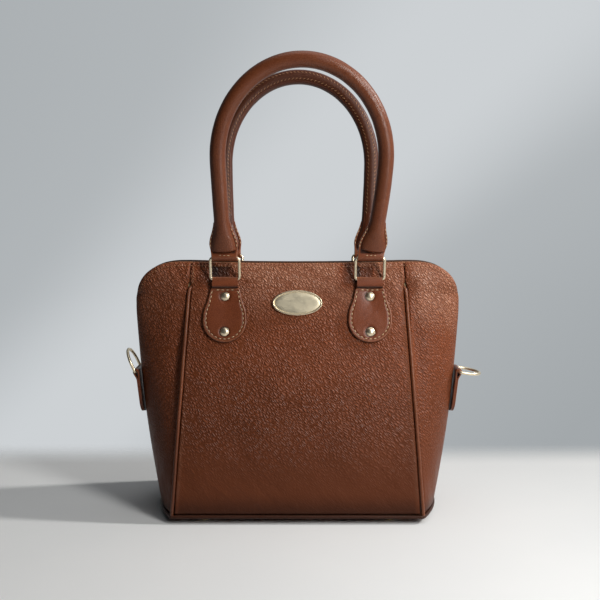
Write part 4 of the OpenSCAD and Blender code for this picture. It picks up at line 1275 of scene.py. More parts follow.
@dataclass
class Interior:
    """Lining, pocket and the leather and tape round the zip."""

    looks: Wardrobe
    inset: float = 3.1
    lining_t: float = 0.6
    cloth_t: float = 0.5
    facing_h: float = 13.0
    tape_half: float = 131.4
    teeth_half: float = 3.1

    def lining(self, face: Face) -> None:
        """Builds one half of the lining, from side seam to side seam.

        Args:
            face: front or back.
        """
        piece = Workpiece()
        top = BAG.body_h - self.facing_h - 0.3

        def place(u: float, v: float) -> Vector:
            """The point at the two shares."""
            z = mix(14.6, top, v)
            t = BAG.share(z)
            corner = BAG.panel_half(t) - self.inset * 0.6
            limit = min(BAG.side_half(z), BAG.side_half(min(BAG.body_h, z + self.facing_h)))
            side = max(corner + 1, limit - self.inset)
            x = mix(-side, side, u)
            if abs(x) <= corner:
                spot = BAG.panel_spot(x, z)
                spot.y += self.inset
            else:
                spot = BAG.wing_spot(abs(x) + self.inset * 0.6, z)
                spot.x = x
                spot.y = min(spot.y + self.inset, -0.05)
            spot.y += 0.25 * abs(ripple(x, 2, z, 26))
            return spot

        piece.grid(84, 40, place)
        node = f"lining_{face.word}"
        piece.finish(f"{node}_cloth", self.looks.lining, [node], flip=face.flip, thick=self.cloth_t)

    def floor(self) -> None:
        """Builds the lining of the base."""
        piece = Workpiece()

        def place(u: float, v: float) -> Vector:
            """The point at the two shares."""
            y = mix(-1, 1, v) * (BAG.base_d / 2 - 5.2)
            x = mix(-1, 1, u) * (BAG.base_half(y) - 4.2)
            return Vector((x, y, 13.6 + 0.3 * ripple(x, y, 3, 30)))

        piece.grid(50, 26, place)
        piece.finish("lining_base_cloth", self.looks.lining, ["lining_base"], thick=self.cloth_t)

    def pocket(self) -> None:
        """Builds the slip pocket on the back lining, a little slack along its open edge."""
        piece = Workpiece()

        def place(u: float, v: float) -> Vector:
            """The point at the two shares."""
            t = mix(0.34, 0.66, v)
            x = mix(-0.62, 0.62, u) * BAG.panel_half(t)
            spot = BAG.panel_spot(x, BAG.foot_h + t * BAG.wall_h)
            slack = 0.9 * v * v * math.sin(math.pi * u) ** 0.5 if 0 < u < 1 else 0.0
            spot.y += self.inset + self.lining_t + 0.5 + slack
            return spot

        piece.grid(44, 22, place)
        piece.finish("inner_pocket_cloth", self.looks.lining, ["inner_pocket"], flip=Face.BACK.flip,
                     thick=self.cloth_t)

    def facing(self, face: Face) -> None:
        """Builds the leather strip that faces the inside of the mouth.

        Args:
            face: front or back.
        """
        piece = Workpiece()
        edge = Path(BAG.mouth_edge(BAG.slot_z + 9))

        def place(u: float, v: float) -> Vector:
            """The point at the two shares."""
            d = u * edge.length
            p = edge.below(d, mix(self.facing_h, 1.4, v))
            return Vector((p.x, min(-0.4, -BAG.slot_half(edge.at(d).z) + 1.9), p.z))

        piece.grid(150, 8, place)
        node = f"zip_facing_{face.word}"
        piece.finish(f"{node}_leather", self.looks.strap, [node], flip=face.flip, thick=1.1)

    def zip_end(self, side: Side) -> None:
        """Builds the leather tab that closes the slot over one shoulder.

        Args:
            side: left or right.
        """
        piece = Workpiece()
        line = Path([p for p in BAG.mouth_edge(BAG.slot_z + 6) if p.x > 133])

        def place(u: float, v: float) -> Vector:
            """The point at the two shares."""
            d = u * line.length
            half = max(0.4, BAG.slot_half(line.at(d).z) - 3.3)
            across = mix(-1, 1, v)
            # The tab is folded down along its middle as the shoulder draws in
            depth = BAG.zip_depth - 0.8 + 1.2 * smooth(0.2, 1, u) * (1 - across * across)
            p = line.below(d, depth, 2.0)
            return Vector((p.x, across * half, p.z))

        piece.grid(40, 14, place)
        node = f"zip_end_{side.word}"
        piece.finish(f"{node}_leather", self.looks.strap, [node], flip=side.flip, thick=1.4)

    def tape(self, face: Face) -> None:
        """Builds one zip tape.

        Args:
            face: front or back.
        """
        piece = Workpiece()
        z = BAG.body_h - BAG.zip_depth

        def place(u: float, v: float) -> Vector:
            """The point at the two shares."""
            x = mix(-self.tape_half, self.tape_half, u)
            y = mix(-7.9, -self.teeth_half + 0.5, v)
            return Vector((x, y, z + 0.35 + 0.12 * ripple(x, y, 0, 18)))

        piece.grid(160, 6, place)
        node = f"zip_tape_{face.word}"
        piece.finish(f"{node}_cloth", self.looks.tape, [node], flip=face.flip, thick=0.7)

    def build(self) -> None:
        """Builds every piece of the inside and round the zip."""
        for face in Face:
            self.lining(face)
            self.facing(face)
            self.tape(face)
        for side in Side:
            self.zip_end(side)
        self.floor()
        self.pocket()


@dataclass
class Zip:
    """Metal teeth, stops, slider and pull."""

    looks: Wardrobe
    chain: float = 253.0
    pitch: float = 3.0
    tooth_h: float = 2.6
    slider_l: float = 17.0
    slider_w: float = 11.0
    pin_over: float = 4.75
    pull_l: float = 32.0
    pull_w: float = 7.6

    @property
    def z(self) -> float:
        """Height of the middle of the teeth."""
        return BAG.body_h - BAG.zip_depth

    @property
    def slider_x(self) -> float:
        """Place of the slider at rest, closed at the right end."""
        return self.chain / 2 - self.slider_l / 4

    def teeth(self, face: Face) -> None:
        """Builds one row of teeth: a clamp on the tape's edge and a hooked head each.

        Args:
            face: front or back.
        """
        piece = Workpiece()
        shift = 0.0 if face is Face.FRONT else 0.45 * self.pitch
        for i in range(int(self.chain / self.pitch)):
            x = -self.chain / 2 + i * self.pitch + shift + 0.825
            if x > self.chain / 2:
                break
            piece.block(Vector((x, -2.0, self.z)), Vector((1.35, 2.1, self.tooth_h)), 0.35, 1)
            piece.block(Vector((x, -0.75, self.z)), Vector((1.6, 1.5, 0.72 * self.tooth_h)), 0.3, 1)
        node = f"zip_teeth_{face.word}"
        piece.finish(f"{node}_metal", self.looks.metal, [node], flip=face.flip, closed=False)

    def stops(self) -> None:
        """Builds the stops past both ends of the chain."""
        piece = Workpiece()
        for y in (-2.1, 2.1):
            piece.block(Vector((self.chain / 2 + 4, y, self.z)), Vector((2, 2, self.tooth_h)), 0.4)
        piece.block(Vector((-self.chain / 2 - 2, 0, self.z)), Vector((2, 6.2, self.tooth_h)), 0.5)
        piece.finish("zip_stops_metal", self.looks.metal, ["zip_stops"], closed=False)

    def slider(self) -> None:
        """Builds the slider: two shield shaped plates, a neck, and the arched lug on top."""
        piece = Workpiece()
        x0 = self.slider_x

        def shield(angle: float, inset: float) -> tuple[float, float]:
            """Rim of the slider's plates."""
            pinch = 1 - 0.16 * smooth(0.1, 1.0, -math.cos(math.radians(angle)))
            reach = oval_reach(angle, self.slider_l / 2, self.slider_w / 2, 3.2)
            return polar(pinch * reach - inset, angle)

        profile = [(1.6, 1.2), (0.9, 1.14), (0.35, 0.9), (0.0, 0.4), (0.0, 0.0)]
        for way in (1, -1):
            base = self.z + way * 1.65

            def place(x: float, y: float, h: float, base: float = base, way: int = way) -> Vector:
                """The point of one plate at flat coordinates and a height."""
                return Vector((x0 + x, y * way, base + way * h))

            piece.disc(shield, profile, 48, place, 4)
        piece.block(Vector((x0 + 7.0, 0, self.z)), Vector((2.8, 1.5, 4.2)), 0.4)
        for y in (-2.9, 2.9):
            piece.block(Vector((x0, y, self.z + 4.5)), Vector((3.4, 1.0, 4.1)), 0.45, 3)
        pin = Path([Vector((x0, y, self.z + self.pin_over)) for y in (-3.3, 0, 3.3)])
        piece.tube(pin, lambda angle, d: 0.7, 14, 8, Vector((1, 0, 0)))
        piece.finish("zip_slider_metal", self.looks.metal, ["zip_slider"], Body.SLIDER, closed=False)

    def pull(self) -> None:
        """Builds the pull: an eye on the pin and a tongue with a pressed border."""
        piece = Workpiece()
        x0, z0 = self.slider_x, self.z + self.pin_over
        middle = -self.pull_l * 0.62

        def outline(angle: float, inset: float) -> tuple[float, float]:
            """Rim of the pull, seen from its middle."""
            a = math.radians(angle)
            # The tongue's neck runs up to the eye, at angle zero
            neck = smooth(0.8, 1.0, math.cos(a))
            oval = oval_reach(angle, self.pull_l - abs(middle), self.pull_w / 2, 3)
            reach = mix(oval, min(abs(middle), 2.3 / max(0.05, abs(math.sin(a)))), neck)
            return polar(reach - inset, angle)

        profile = [(1.5, 0.45), (1.1, 0.45), (0.85, 0.7), (0.35, 0.68), (0.05, 0.4), (0.0, 0.0)]
        for way in (1, -1):
            piece.disc(outline, profile, 72,
                       lambda x, y, h, way=way: Vector((x0 + middle + x, y * way, z0 + way * h)), 6)
        ring = [Vector((x0 + 1.2 * math.cos(a), 0, z0 + 1.2 * math.sin(a)))
                for a in [math.tau * i / 24 for i in range(25)]]
        piece.tube(Path(ring), lambda angle, d: mix(0.5, 2.2, abs(math.sin(math.radians(angle))) ** 3),
                   16, 24, Vector((0, 1, 0)), closed=True)
        piece.finish("zip_pull_metal", self.looks.metal, ["zip_pull"], Body.PULL, closed=False)

    def build(self) -> None:
        """Builds every piece of the zip."""
        for face in Face:
            self.teeth(face)
        self.stops()
        self.slider()
        self.pull()


@dataclass
class Hangers:
    """Rectangular rings and the riveted chapes that hold them."""

    looks: Wardrobe
    bar_z: float = 238.5
    bar_y: float = 19.3376
    tilt: float = 15.63
    lean: float = 9.5
    ring_h: float = 22.2
    ring_w: float = 29.1
    wire_r: float = 1.55
    corner_r: float = 3.2
    strap_half: float = 12.9
    round_r: float = 22.4
    drop: float = 42.5
    top_gap: float = 9.2
    chape_t: float = 2.9
    rivet_drops: tuple[float, float] = (18.0, 54.0)
    rivet_r: float = 4.4

    def chape_spot(self, side: Side, x: float, z: float, height: float) -> Vector:
        """A point over the panel.

        Args:
            side: the side that the chape is on.
            x: place across, from the chape's middle.
            z: distance from the ring bar, measured up the panel's slope.
            height: distance off the leather.

        Returns:
            The point.
        """
        slope = math.radians(self.tilt)
        across = side.value * BAG.ring_x + x
        level = self.bar_z + z * math.cos(slope)
        spot = BAG.panel_spot(across, level)
        normal = BAG.outer_normal(across, min(level, BAG.body_h - 4))
        return spot + (height + 0.15) * normal

    def outline(self, angle: float) -> float:
        """Rim of the pear shaped tab, seen from the centre of its round end."""
        if math.sin(math.radians(angle)) <= 0:
            return self.round_r
        top = self.drop - self.top_gap

        def inside(r: float) -> bool:
            """Whether the point at distance r lies on the tab."""
            x, z = polar(r, angle)
            half = table_value(((0.0, self.round_r), (0.3, 21.4), (0.62, 17.6), (1.0, 14.6)), z / top)
            return abs(x) < half and z < top

        return last_inside(60.0, inside)

    def chape(self, face: Face, side: Side) -> None:
        """Builds one chape: pear shaped tab, strap round the ring bar and stitches.

        Args:
            face: front or back.
            side: left or right.
        """
        table = [self.outline(i * 2.5) for i in range(144)]

        def rim(angle: float, inset: float) -> tuple[float, float]:
            """Rim of the tab, read from the table."""
            at = angle % 360 / 2.5
            i = int(at) % 144
            return polar(mix(table[i], table[(i + 1) % 144], at - int(at)) - inset, angle)

        def pressed(x: float, z: float) -> float:
            """How deep the rivets press the leather in."""
            dip = 0.0
            for drop in self.rivet_drops:
                away = math.hypot(x, z + drop)
                dip += 0.75 * smooth(self.rivet_r + 2.6, self.rivet_r + 0.2, away)
            return dip

        piece = Workpiece()
        t = self.chape_t
        profile = [(5.6, t), (4.3, t), (3.85, t - 0.4), (3.15, t - 0.4), (2.7, t), (1.5, t + 0.1),
                   (0.7, t - 0.1), (0.2, t - 0.7), (0.0, t - 1.5), (0.3, 0.1)]

        def place(x: float, y: float, h: float) -> Vector:
            """The point at flat coordinates and a height."""
            z = y - self.drop
            wave = 0.4 * ripple(x, z, 7 * side.value, 15) + 0.14 * ripple(x + z, 2 * (x - z), 5, 9)
            return self.chape_spot(side, x, z, h + (wave - pressed(x, z) if h > 1.2 else 0.0))

        def rub_and_painted_light(x: float, y: float, inset: float) -> float:
            """Scuffing and painted light of a point of the tab."""
            # A painted highlight along the rim, a dark foot of the rim that is edge paint and painted
            # shade, painted shade in the dips round the rivets, and a painted shadow under the strap's
            # lower lip
            away = min(math.hypot(x, y - self.drop + drop) for drop in self.rivet_drops)
            dark = 0.9 * smooth(self.rivet_r + 1.5, self.rivet_r + 0.3, away) * (inset > 5)
            under = 0.7 * smooth(self.drop - 10.4, self.drop - 8.9, y)
            return 0.7 * smooth(2.9, 1.4, inset) - 1.6 * smooth(0.6, 0.1, inset) - dark - under

        piece.disc(rim, profile, 144, place, rings=16, wear=rub_and_painted_light)
        slope = math.radians(self.tilt)

        def strap(u: float, v: float) -> Vector:
            """The point of the strap at the two shares."""
            x = mix(-1, 1, u) * self.strap_half
            path = table_value(((0.0, -12.0), (0.25, -4.2), (0.5, 0.0), (0.75, 4.2), (1.0, 12.0)), v)
            r = self.wire_r + 0.95
            turn = path / 4.2 * 90 if abs(path) < 4.2 else math.copysign(90, path)
            if abs(path) < 4.2:
                y, z = r * math.sin(math.radians(turn)), r * math.cos(math.radians(turn))
            else:
                fall = (abs(path) - 4.2) * 1.33
                lip = -r - 0.8 * math.sin(math.pi * min(1.0, fall / 10))
                y = r if path > 0 else mix(lip, 1.5, smooth(8.2, 10.1, fall))
                z = -fall
            y_w = -self.bar_y + y * math.cos(slope) + z * math.sin(slope)
            z_w = self.bar_z - y * math.sin(slope) + z * math.cos(slope)
            return Vector((side.value * BAG.ring_x + x, y_w, z_w))

        # The strap's band gets a painted highlight over the ring bar and painted shade under its lower lip
        piece.grid(12, 48, strap, lambda u, v: 0.8 * smooth(0.16, 0.4, v) - 0.9 * smooth(0.09, 0.04, v))
        node = f"chape_{face.word}_{side.word}"
        piece.finish(f"{node}_leather", self.looks.strap, [node], flip=face.flip, closed=False)

        stitches = Workpiece()
        flat = [rim(mix(68, -248, i / 96), 3.5) for i in range(97)]
        top = [(mix(-10.0, 10.0, i / 10), self.drop - 11.7) for i in range(11)]
        for row in (flat, top):
            seam = Path([place(x, y, t - 0.1) for x, y in row])
            stitch_row(stitches, seam, front_normals(seam, 250), 4.5, share=0.66, wide=0.58, lift=0.1)
        stitches.finish(f"{node}_stitches", self.looks.thread, flip=face.flip)

    def rivets(self, face: Face) -> None:
        """Builds the domed rivets of one side's chapes, with their caps inside.

        Args:
            face: front or back.
        """
        piece = Workpiece()
        r = self.rivet_r
        dome = [(0.0, 2.1), (0.3 * r, 2.02), (0.55 * r, 1.75), (0.76 * r, 1.28), (0.9 * r, 0.7),
                (0.93 * r, 0.5), (r, 0.42), (r, -0.2), (1.3, -0.2), (1.3, -6.3), (0.95 * r, -6.3),
                (r, -6.8), (0.8 * r, -7.3), (0.0, -7.4)]
        for side in Side:
            for drop in self.rivet_drops:
                at = self.chape_spot(side, 0, -drop, self.chape_t - 0.75)
                up = BAG.outer_normal(at.x, at.z)
                third = up.cross(Vector((1, 0, 0))).normalized()
                turn = Matrix((third.cross(up), third, up)).transposed().to_4x4()
                piece.turned(dome, 36, Matrix.Translation(at) @ turn)
        node = f"rivets_{face.word}"
        piece.finish(f"{node}_metal", self.looks.metal, [node], flip=face.flip)

    def ring(self, face: Face, side: Side) -> None:
        """Builds one rectangular ring, leaning outwards on its lower bar.

        Args:
            face: front or back.
            side: left or right.
        """
        half, r = self.ring_w / 2, self.corner_r
        points = []
        for cx, cz, start in ((half - r, self.ring_h - r, 0), (-half + r, self.ring_h - r, 90),
                              (-half + r, r, 180), (half - r, r, 270)):
            for i in range(9):
                a = math.radians(start + 90 * i / 8)
                points.append(Vector((cx + r * math.cos(a), 0, cz + r * math.sin(a))))
        points.append(points[0])
        lean = math.radians(self.lean)
        world = [Vector((side.value * BAG.ring_x + p.x, -self.bar_y - p.z * math.sin(lean),
                         self.bar_z + p.z * math.cos(lean))) for p in points]
        piece = Workpiece()
        piece.tube(Path(world), lambda angle, d: self.wire_r, 18, 160,
                   Vector((0, -math.cos(lean), -math.sin(lean))), closed=True)
        node = f"ring_{face.word}_{side.word}"
        body = Body[f"{face.name}_RING_{side.name}"]
        piece.finish(f"{node}_metal", self.looks.metal, [node], body, face.flip)

    def build(self) -> None:
        """Builds every chape, rivet and ring."""
        for face in Face:
            self.rivets(face)
            for side in Side:
                self.chape(face, side)
                self.ring(face, side)


@dataclass
class Handle:
    """One rolled handle: a stitched leather tube and two strap ends on the rings."""

    looks: Wardrobe
    hangers: Hangers
    face: Face
    arch_w: float
    sway: float
    span: float = 2 * BAG.ring_x
    drop: float = 191.5
    arch_h: float = 99.0
    r: float = 7.75
    end_l: float = 34.0
    wall: float = 1.5
    tube_start: float = 5.4
    strip_at: float = 268.0
    strip_half: float = 34.0
    strip_start: float = 36.0
    stitch_off: float = 27.0
    bend_share: float = 0.16

    @property
    def body(self) -> Body:
        """The body that the handle's pieces ride on."""
        return Body[f"{self.face.name}_HANDLE"]

    def to_world(self, p: Vector) -> Vector:
        """Moves a point of the upright handle to its place on the front rings."""
        lean = math.radians(self.hangers.lean)
        y0 = -self.hangers.bar_y - self.hangers.ring_h * math.sin(lean)
        z0 = self.hangers.bar_z + self.hangers.ring_h * math.cos(lean)
        return Vector((p.x, y0 + p.y * math.cos(lean) - p.z * math.sin(lean),
                       z0 + p.y * math.sin(lean) + p.z * math.cos(lean)))

    def sway_at(self, s: float) -> float:
        """Sideways place of the centre line at height s."""
        return self.sway * math.sin(math.radians(90 * min(1, s / (self.arch_h + self.r))))

    def leg(self, side: float, s: float) -> Vector:
        """A point of a leg's centre line at height s."""
        half = self.arch_w / 2 - (self.arch_w - self.span) / 2 * ((self.arch_h - s) / self.arch_h) ** 1.4
        return Vector((side * half + self.sway_at(s), 0, s))

    def centre_line(self) -> Path:
        """The centre line of the tube, from the left end to the right one."""
        left, right = [], []
        for side, found in ((-1, left), (1, right)):
            top = self.leg(side, self.end_l)
            way = (self.leg(side, self.end_l + 13) - top).normalized()
            for i in range(8):
                found.append(top - way * mix(self.end_l - self.tube_start, 0, i / 8))
            for i in range(20):
                found.append(self.leg(side, mix(self.end_l, self.arch_h, i / 20)))
        arch = []
        for i in range(91):
            a = math.radians(180 * i / 90)
            s = self.arch_h + (self.drop - self.arch_h) * math.sin(a)
            arch.append(Vector((-self.arch_w / 2 * math.cos(a) + self.sway_at(s), 0, s)))
        return Path(left + arch + list(reversed(right)))

    def radius(self, angle: float, d: float, whole: float) -> float:
        """Radius of the tube at an angle in degrees and a distance along it.

        Args:
            angle: the angle; the sewn strip lies round strip_at, between two grooves.
            d: the distance along the tube.
            whole: the tube's length.

        Returns:
            The radius; near its ends the tube spreads sideways over the straps.
        """
        off = angle - self.strip_at
        end = min(d, whole - d)
        groove = math.exp(-((abs(off) - 38) / 3.2) ** 2)
        hollow = (0.8 * groove + 0.45 * smooth(38, 20, abs(off))) * smooth(14, 34, end)
        wrinkle = 0.1 * ripple(d, math.sin(math.radians(angle)) * 9, 3, 9)
        wide = table_value(((0.0, 11.7), (3.0, 12.4), (8.0, 12.3), (13.0, 11.4), (19.0, 9.5),
                            (26.0, 8.2), (34.0, self.r)), min(end, 34.0))
        deep = mix(6.4, self.r, smooth(0, 26, end))
        a = math.radians(angle)
        return 1 / math.hypot(math.cos(a) / wide, math.sin(a) / deep) - hollow + wrinkle

    def on_tube(self, line: Path, d: float, angle: float, lift: float) -> tuple[Vector, Vector]:
        """A point over the tube and the tube's normal there, in the model's frame.

        Args:
            line: the centre line.
            d: the distance along it.
            angle: the angle round it in degrees.
            lift: how far the point stands off the tube's plain radius.

        Returns:
            The point and the normal.
        """
        along = line.heading(d, 1.0)
        out = Vector((0, -1, 0)).cross(along).normalized()
        up = along.cross(out)
        a = math.radians(angle)
        normal = math.cos(a) * out + math.sin(a) * up
        spot = self.to_world(line.at(d) + (self.r + lift) * normal)
        return spot, (self.to_world(normal) - self.to_world(Vector((0, 0, 0)))).normalized()

    def roll(self) -> None:
        """Builds the tube, with its bell shaped ends."""
        line = self.centre_line()
        piece = Workpiece()
        piece.tube(line, lambda angle, d: self.radius(angle, d, line.length), 72, 440,
                   Vector((0, -1, 0)), cap=3.4, wear=0.25)
        # Painted shade: the back handle's roll is darker all over, and the roll's ends over the strap ends
        # are darkened
        rub_and_painted_light = 0.25 if self.face is Face.FRONT else -0.4
        for vert in piece.bm.verts:
            lip = smooth(self.tube_start, self.tube_start + 2.4, vert.co.z)
            vert[piece.wear] = mix(-0.8, rub_and_painted_light, lip)
            vert.co = self.to_world(vert.co)
        kind = self.face.word
        piece.finish(f"{kind}_handle_roll", self.looks.roll,
                     [f"{kind}_handle_cover", f"{kind}_handle_core"], self.body, self.face.flip)

    def strip(self) -> None:
        """Builds the darker strip sewn along the side that faces the middle, and its stitches."""
        line = self.centre_line()
        first, last = self.strip_start, line.length - self.strip_start
        low, high = self.strip_at - self.strip_half, self.strip_at + self.strip_half

        def on_strip(u: float, v: float) -> Vector:
            """The point of the strip at the two shares."""
            rim = min(u, 1 - u, 8 * v, 8 * (1 - v))
            lift = mix(-1.3, 0.0, smooth(0.0, 0.1, rim)) + 0.12 * ripple(u * 9, v * 400, 2, 6)
            return self.on_tube(line, mix(first, last, v), mix(low, high, u), lift)[0]

        band = Workpiece()
        band.grid(20, 380, on_strip, lambda u, v: 0.5 * smooth(0.2, 0.05, min(u, 1 - u)))
        band.finish(f"{self.face.word}_handle_strip", self.looks.strip, body=self.body,
                    flip=self.face.flip, thick=0.5)

        stitches = Workpiece()
        for way in (1, -1):
            angle = self.strip_at + way * self.stitch_off
            marks = [mix(first + 1, last - 1, i / 240) for i in range(241)]
            seam = Path([self.on_tube(line, d, angle, 0.05)[0] for d in marks])

            def normal(d: float, seam: Path = seam, angle: float = angle) -> Vector:
                """The tube's normal at a distance along the row."""
                return self.on_tube(line, mix(first + 1, last - 1, d / seam.length), angle, 0)[1]

            stitch_row(stitches, seam, normal, 4.0, share=0.85, wide=0.4, lift=0.05, slant=way * 38)
        stitches.finish(f"{self.face.word}_handle_stitches", self.looks.brown_thread,
                        body=self.body, flip=self.face.flip)

    def half_width(self, z: float) -> float:
        """Half the width of the strap end at height z over the ring bar."""
        return table_value(((-4.0, 12.8), (3.0, 12.9), (9.0, 13.5), (14.5, 14.1), (20.5, 12.9),
                            (27.0, 10.6), (34.0, 8.7), (40.0, 7.9)), z)

    def end(self, side: Side) -> None:
        """Builds one strap end: two layers, flared and folded round the ring bar.

        Args:
            side: left or right.
        """
        piece = Workpiece()
        bar_x = side.value * self.span / 2
        top = self.leg(side.value, self.end_l)
        mid_r = self.hangers.wire_r + 0.12 + self.wall / 2
        bend = self.bend_share

        def middle(z: float) -> float:
            """Place of the strap's middle line at height z."""
            return bar_x + (top.x - bar_x) * max(0.0, z) / self.end_l

        def place(u: float, v: float) -> Vector:
            """The point at the two shares."""
            path, across = mix(-1, 1, v), mix(-1, 1, u)
            if abs(path) < bend:
                turn = math.radians(path / bend * 90)
                y, z = -mid_r * math.sin(turn), -mid_r * math.cos(turn)
            else:
                z = (abs(path) - bend) / (1 - bend) * (self.end_l + 2)
                gap = mix(mid_r, self.wall / 2 + 0.08, smooth(0, 8.5, z))
                y = -gap if path > 0 else gap
            x = middle(z) + across * self.half_width(z)
            # The fold swells between the ring bar and the tube's end, and its sides turn up
            swell = 1.4 * math.exp(-((z - 2.2) / 3.2) ** 2) * (1 - 0.4 * abs(across) ** 3)
            y += math.copysign(swell, y) + 0.12 * ripple(x, z, path, 8)
            return self.to_world(Vector((x, y, z)))

        def wear(u: float, v: float) -> float:
            """Paler edges, a painted highlight on the fold and painted shade under the tube's end, at the
            two shares.
            """
            z = (abs(2 * v - 1) - bend) / (1 - bend) * (self.end_l + 2)
            rim = 0.6 * smooth(0.07, 0, min(u, 1 - u)) + 0.3 * math.exp(-((z - 1) / 2) ** 2)
            return rim - 0.9 * smooth(4.4, 5.4, z) * smooth(40, 8, z) * smooth(0.0, 0.12, min(u, 1 - u))

        piece.grid(26, 110, place, wear)
        node = f"{self.face.word}_handle_end_{side.word}"
        piece.finish(f"{node}_leather", self.looks.strap, [node], body=self.body,
                     flip=self.face.flip, thick=self.wall, centred=True, round_by=0.3)

        stitches = Workpiece()
        for layer in (-1, 1):
            y = layer * (self.wall + 0.1)
            for way in (-1, 1):
                points = [self.to_world(Vector((middle(z) + way * (self.half_width(z) - 0.9), y, z)))
                          for z in [mix(11, 31, i / 20) for i in range(21)]]
                self.stitch_line(stitches, points, layer)
            across = [self.to_world(Vector((middle(3) + x, layer * 3.8, 3.4)))
                      for x in [mix(-6, 6, i / 10) for i in range(11)]]
            self.stitch_line(stitches, across, layer)
        stitches.finish(f"{node}_stitches", self.looks.thread, body=self.body, flip=self.face.flip)

    def stitch_line(self, piece: Workpiece, points: Sequence[Vector], layer: int) -> None:
        """Adds a row of stitches on the front (-1) or back (1) layer of a strap end."""
        lean = math.radians(self.hangers.lean)
        up = Vector((0, layer * math.cos(lean), layer * math.sin(lean)))
        stitch_row(piece, Path(points), lambda d: up, 3.6, share=0.7, wide=0.48, lift=0.05)

    def build(self) -> None:
        """Builds the handle."""
        self.roll()
        self.strip()
        for side in Side:
            self.end(side)


@dataclass
class SideRings:
    """A folded tab and a D shaped ring on each side."""

    looks: Wardrobe
    bar_x: float = 166.9534
    bar_z: float = 142.0
    tilt: float = 6.02
    wire_r: float = 1.5
    ring_half: float = 15.5
    arm: float = 8.0
    corner_r: float = 2.5
    tab_half: float = 12.5
    tab_l: float = 44.0
    wall: float = 1.5
    stitch_in: float = 2.8

    def tab(self, side: Side) -> None:
        """Builds one tab, folded over the ring's bar and sewn to the side seam.

        Args:
            side: left or right.
        """
        piece = Workpiece()
        slope = math.radians(self.tilt)
        loop_r = self.wire_r + 0.1 + self.wall / 2

        def to_world(x: float, y: float, z: float) -> Vector:
            """Moves a point of the tab to its side of the bag."""
            # Turned by the slope about Y, so that the lower end lies on the bag
            return Vector((side.value * (self.bar_x + x * math.cos(slope) + z * math.sin(slope)), y,
                           self.bar_z - x * math.sin(slope) + z * math.cos(slope)))

        def half(z: float) -> float:
            """Half the tab's width at height z."""
            low = -self.tab_l + self.tab_half
            if z >= low:
                return self.tab_half - 0.5 * math.exp(-((z + 3) / 3) ** 2)
            return math.sqrt(max(0.0, self.tab_half ** 2 - (z - low) ** 2))

        def place(u: float, v: float) -> Vector:
            """The point at the two shares."""
            path = mix(-1, 1, v)
            bend = 0.07
            if abs(path) < bend:
                turn = math.radians(path / bend * 90)
                x, z = loop_r * math.sin(turn), loop_r * math.cos(turn)
            else:
                z = -(abs(path) - bend) / (1 - bend) * (self.tab_l - 0.02)
                ease = smooth(0, -9, z)
                x = mix(loop_r, -0.55, ease) if path > 0 else mix(-loop_r, -2.15, ease)
            y = mix(-1, 1, u) * half(z)
            return to_world(x, y, z)

        # Painted shade: each tab is darkened, the left one more, as it faces away from the lamps; the tabs
        # are paler along their edges
        dark = 0.35 if side is Side.RIGHT else 0.6
        piece.grid(18, 110, place, lambda u, v: 0.5 * smooth(0.08, 0.0, min(u, 1 - u)) - dark)
        name = f"side_tab_{side.word}"
        piece.finish(f"{name}_leather", self.looks.strap, [name], thick=self.wall, centred=True,
                     round_by=0.3)

        # The stitches run down one side, round the end and up the other side
        high, low = -7, -self.tab_l + self.tab_half
        reach = self.tab_half - self.stitch_in
        turns = [math.radians(180 * i / 20) for i in range(1, 21)]
        row = [(-reach, mix(high, low, i / 20)) for i in range(21)]
        row += [(-reach * math.cos(a), low - reach * math.sin(a)) for a in turns]
        row += [(reach, mix(low, high, i / 20)) for i in range(1, 21)]
        points = [to_world(0.25, y, z) for y, z in row]
        up = Vector((side.value * math.cos(slope), 0, -math.sin(slope)))
        stitches = Workpiece()
        stitch_row(stitches, Path(points), lambda d: up, 3.6, share=0.66, wide=0.38, lift=0.05)
        stitches.finish(f"{name}_stitches", self.looks.thread)

    def ring(self, side: Side, angle: float) -> None:
        """Builds one ring: bar, two straight arms and a half round end.

        Args:
            side: left or right.
            angle: turn outwards from upright, in degrees.
        """
        turn = math.radians(angle)
        half, r = self.ring_half, self.corner_r
        bends = [polar(r, a) for a in (18, 36, 54, 72, 90)]
        row = [(mix(-half + r, half - r, i / 8), 0) for i in range(9)]
        row += [(half - r + s, r - c) for c, s in bends]
        row += [(half, 4.0), (half, 6.0)]
        for i in range(33):
            y, z = polar(half, 180 * i / 32)
            row.append((y, self.arm + z))
        row += [(-half, 6.0), (-half, 4.0)]
        row += [(-half + r - s, r - c) for c, s in reversed(bends)]
        row.append(row[0])
        world = [Vector((side.value * (self.bar_x + z * math.sin(turn)), y,
                         self.bar_z + z * math.cos(turn))) for y, z in row]
        across = Vector((side.value * math.cos(turn), 0, -math.sin(turn)))
        piece = Workpiece()
        piece.tube(Path(world), lambda angle, d: self.wire_r, 18, 170, across, closed=True)
        name = f"side_ring_{side.word}"
        piece.finish(f"{name}_metal", self.looks.metal, [name], Body[f"{side.name}_SIDE_RING"])

    def build(self) -> None:
        """Builds both tabs and rings."""
        for side, angle in ((Side.LEFT, 24.0), (Side.RIGHT, 98.0)):
            self.tab(side)
            self.ring(side, angle)


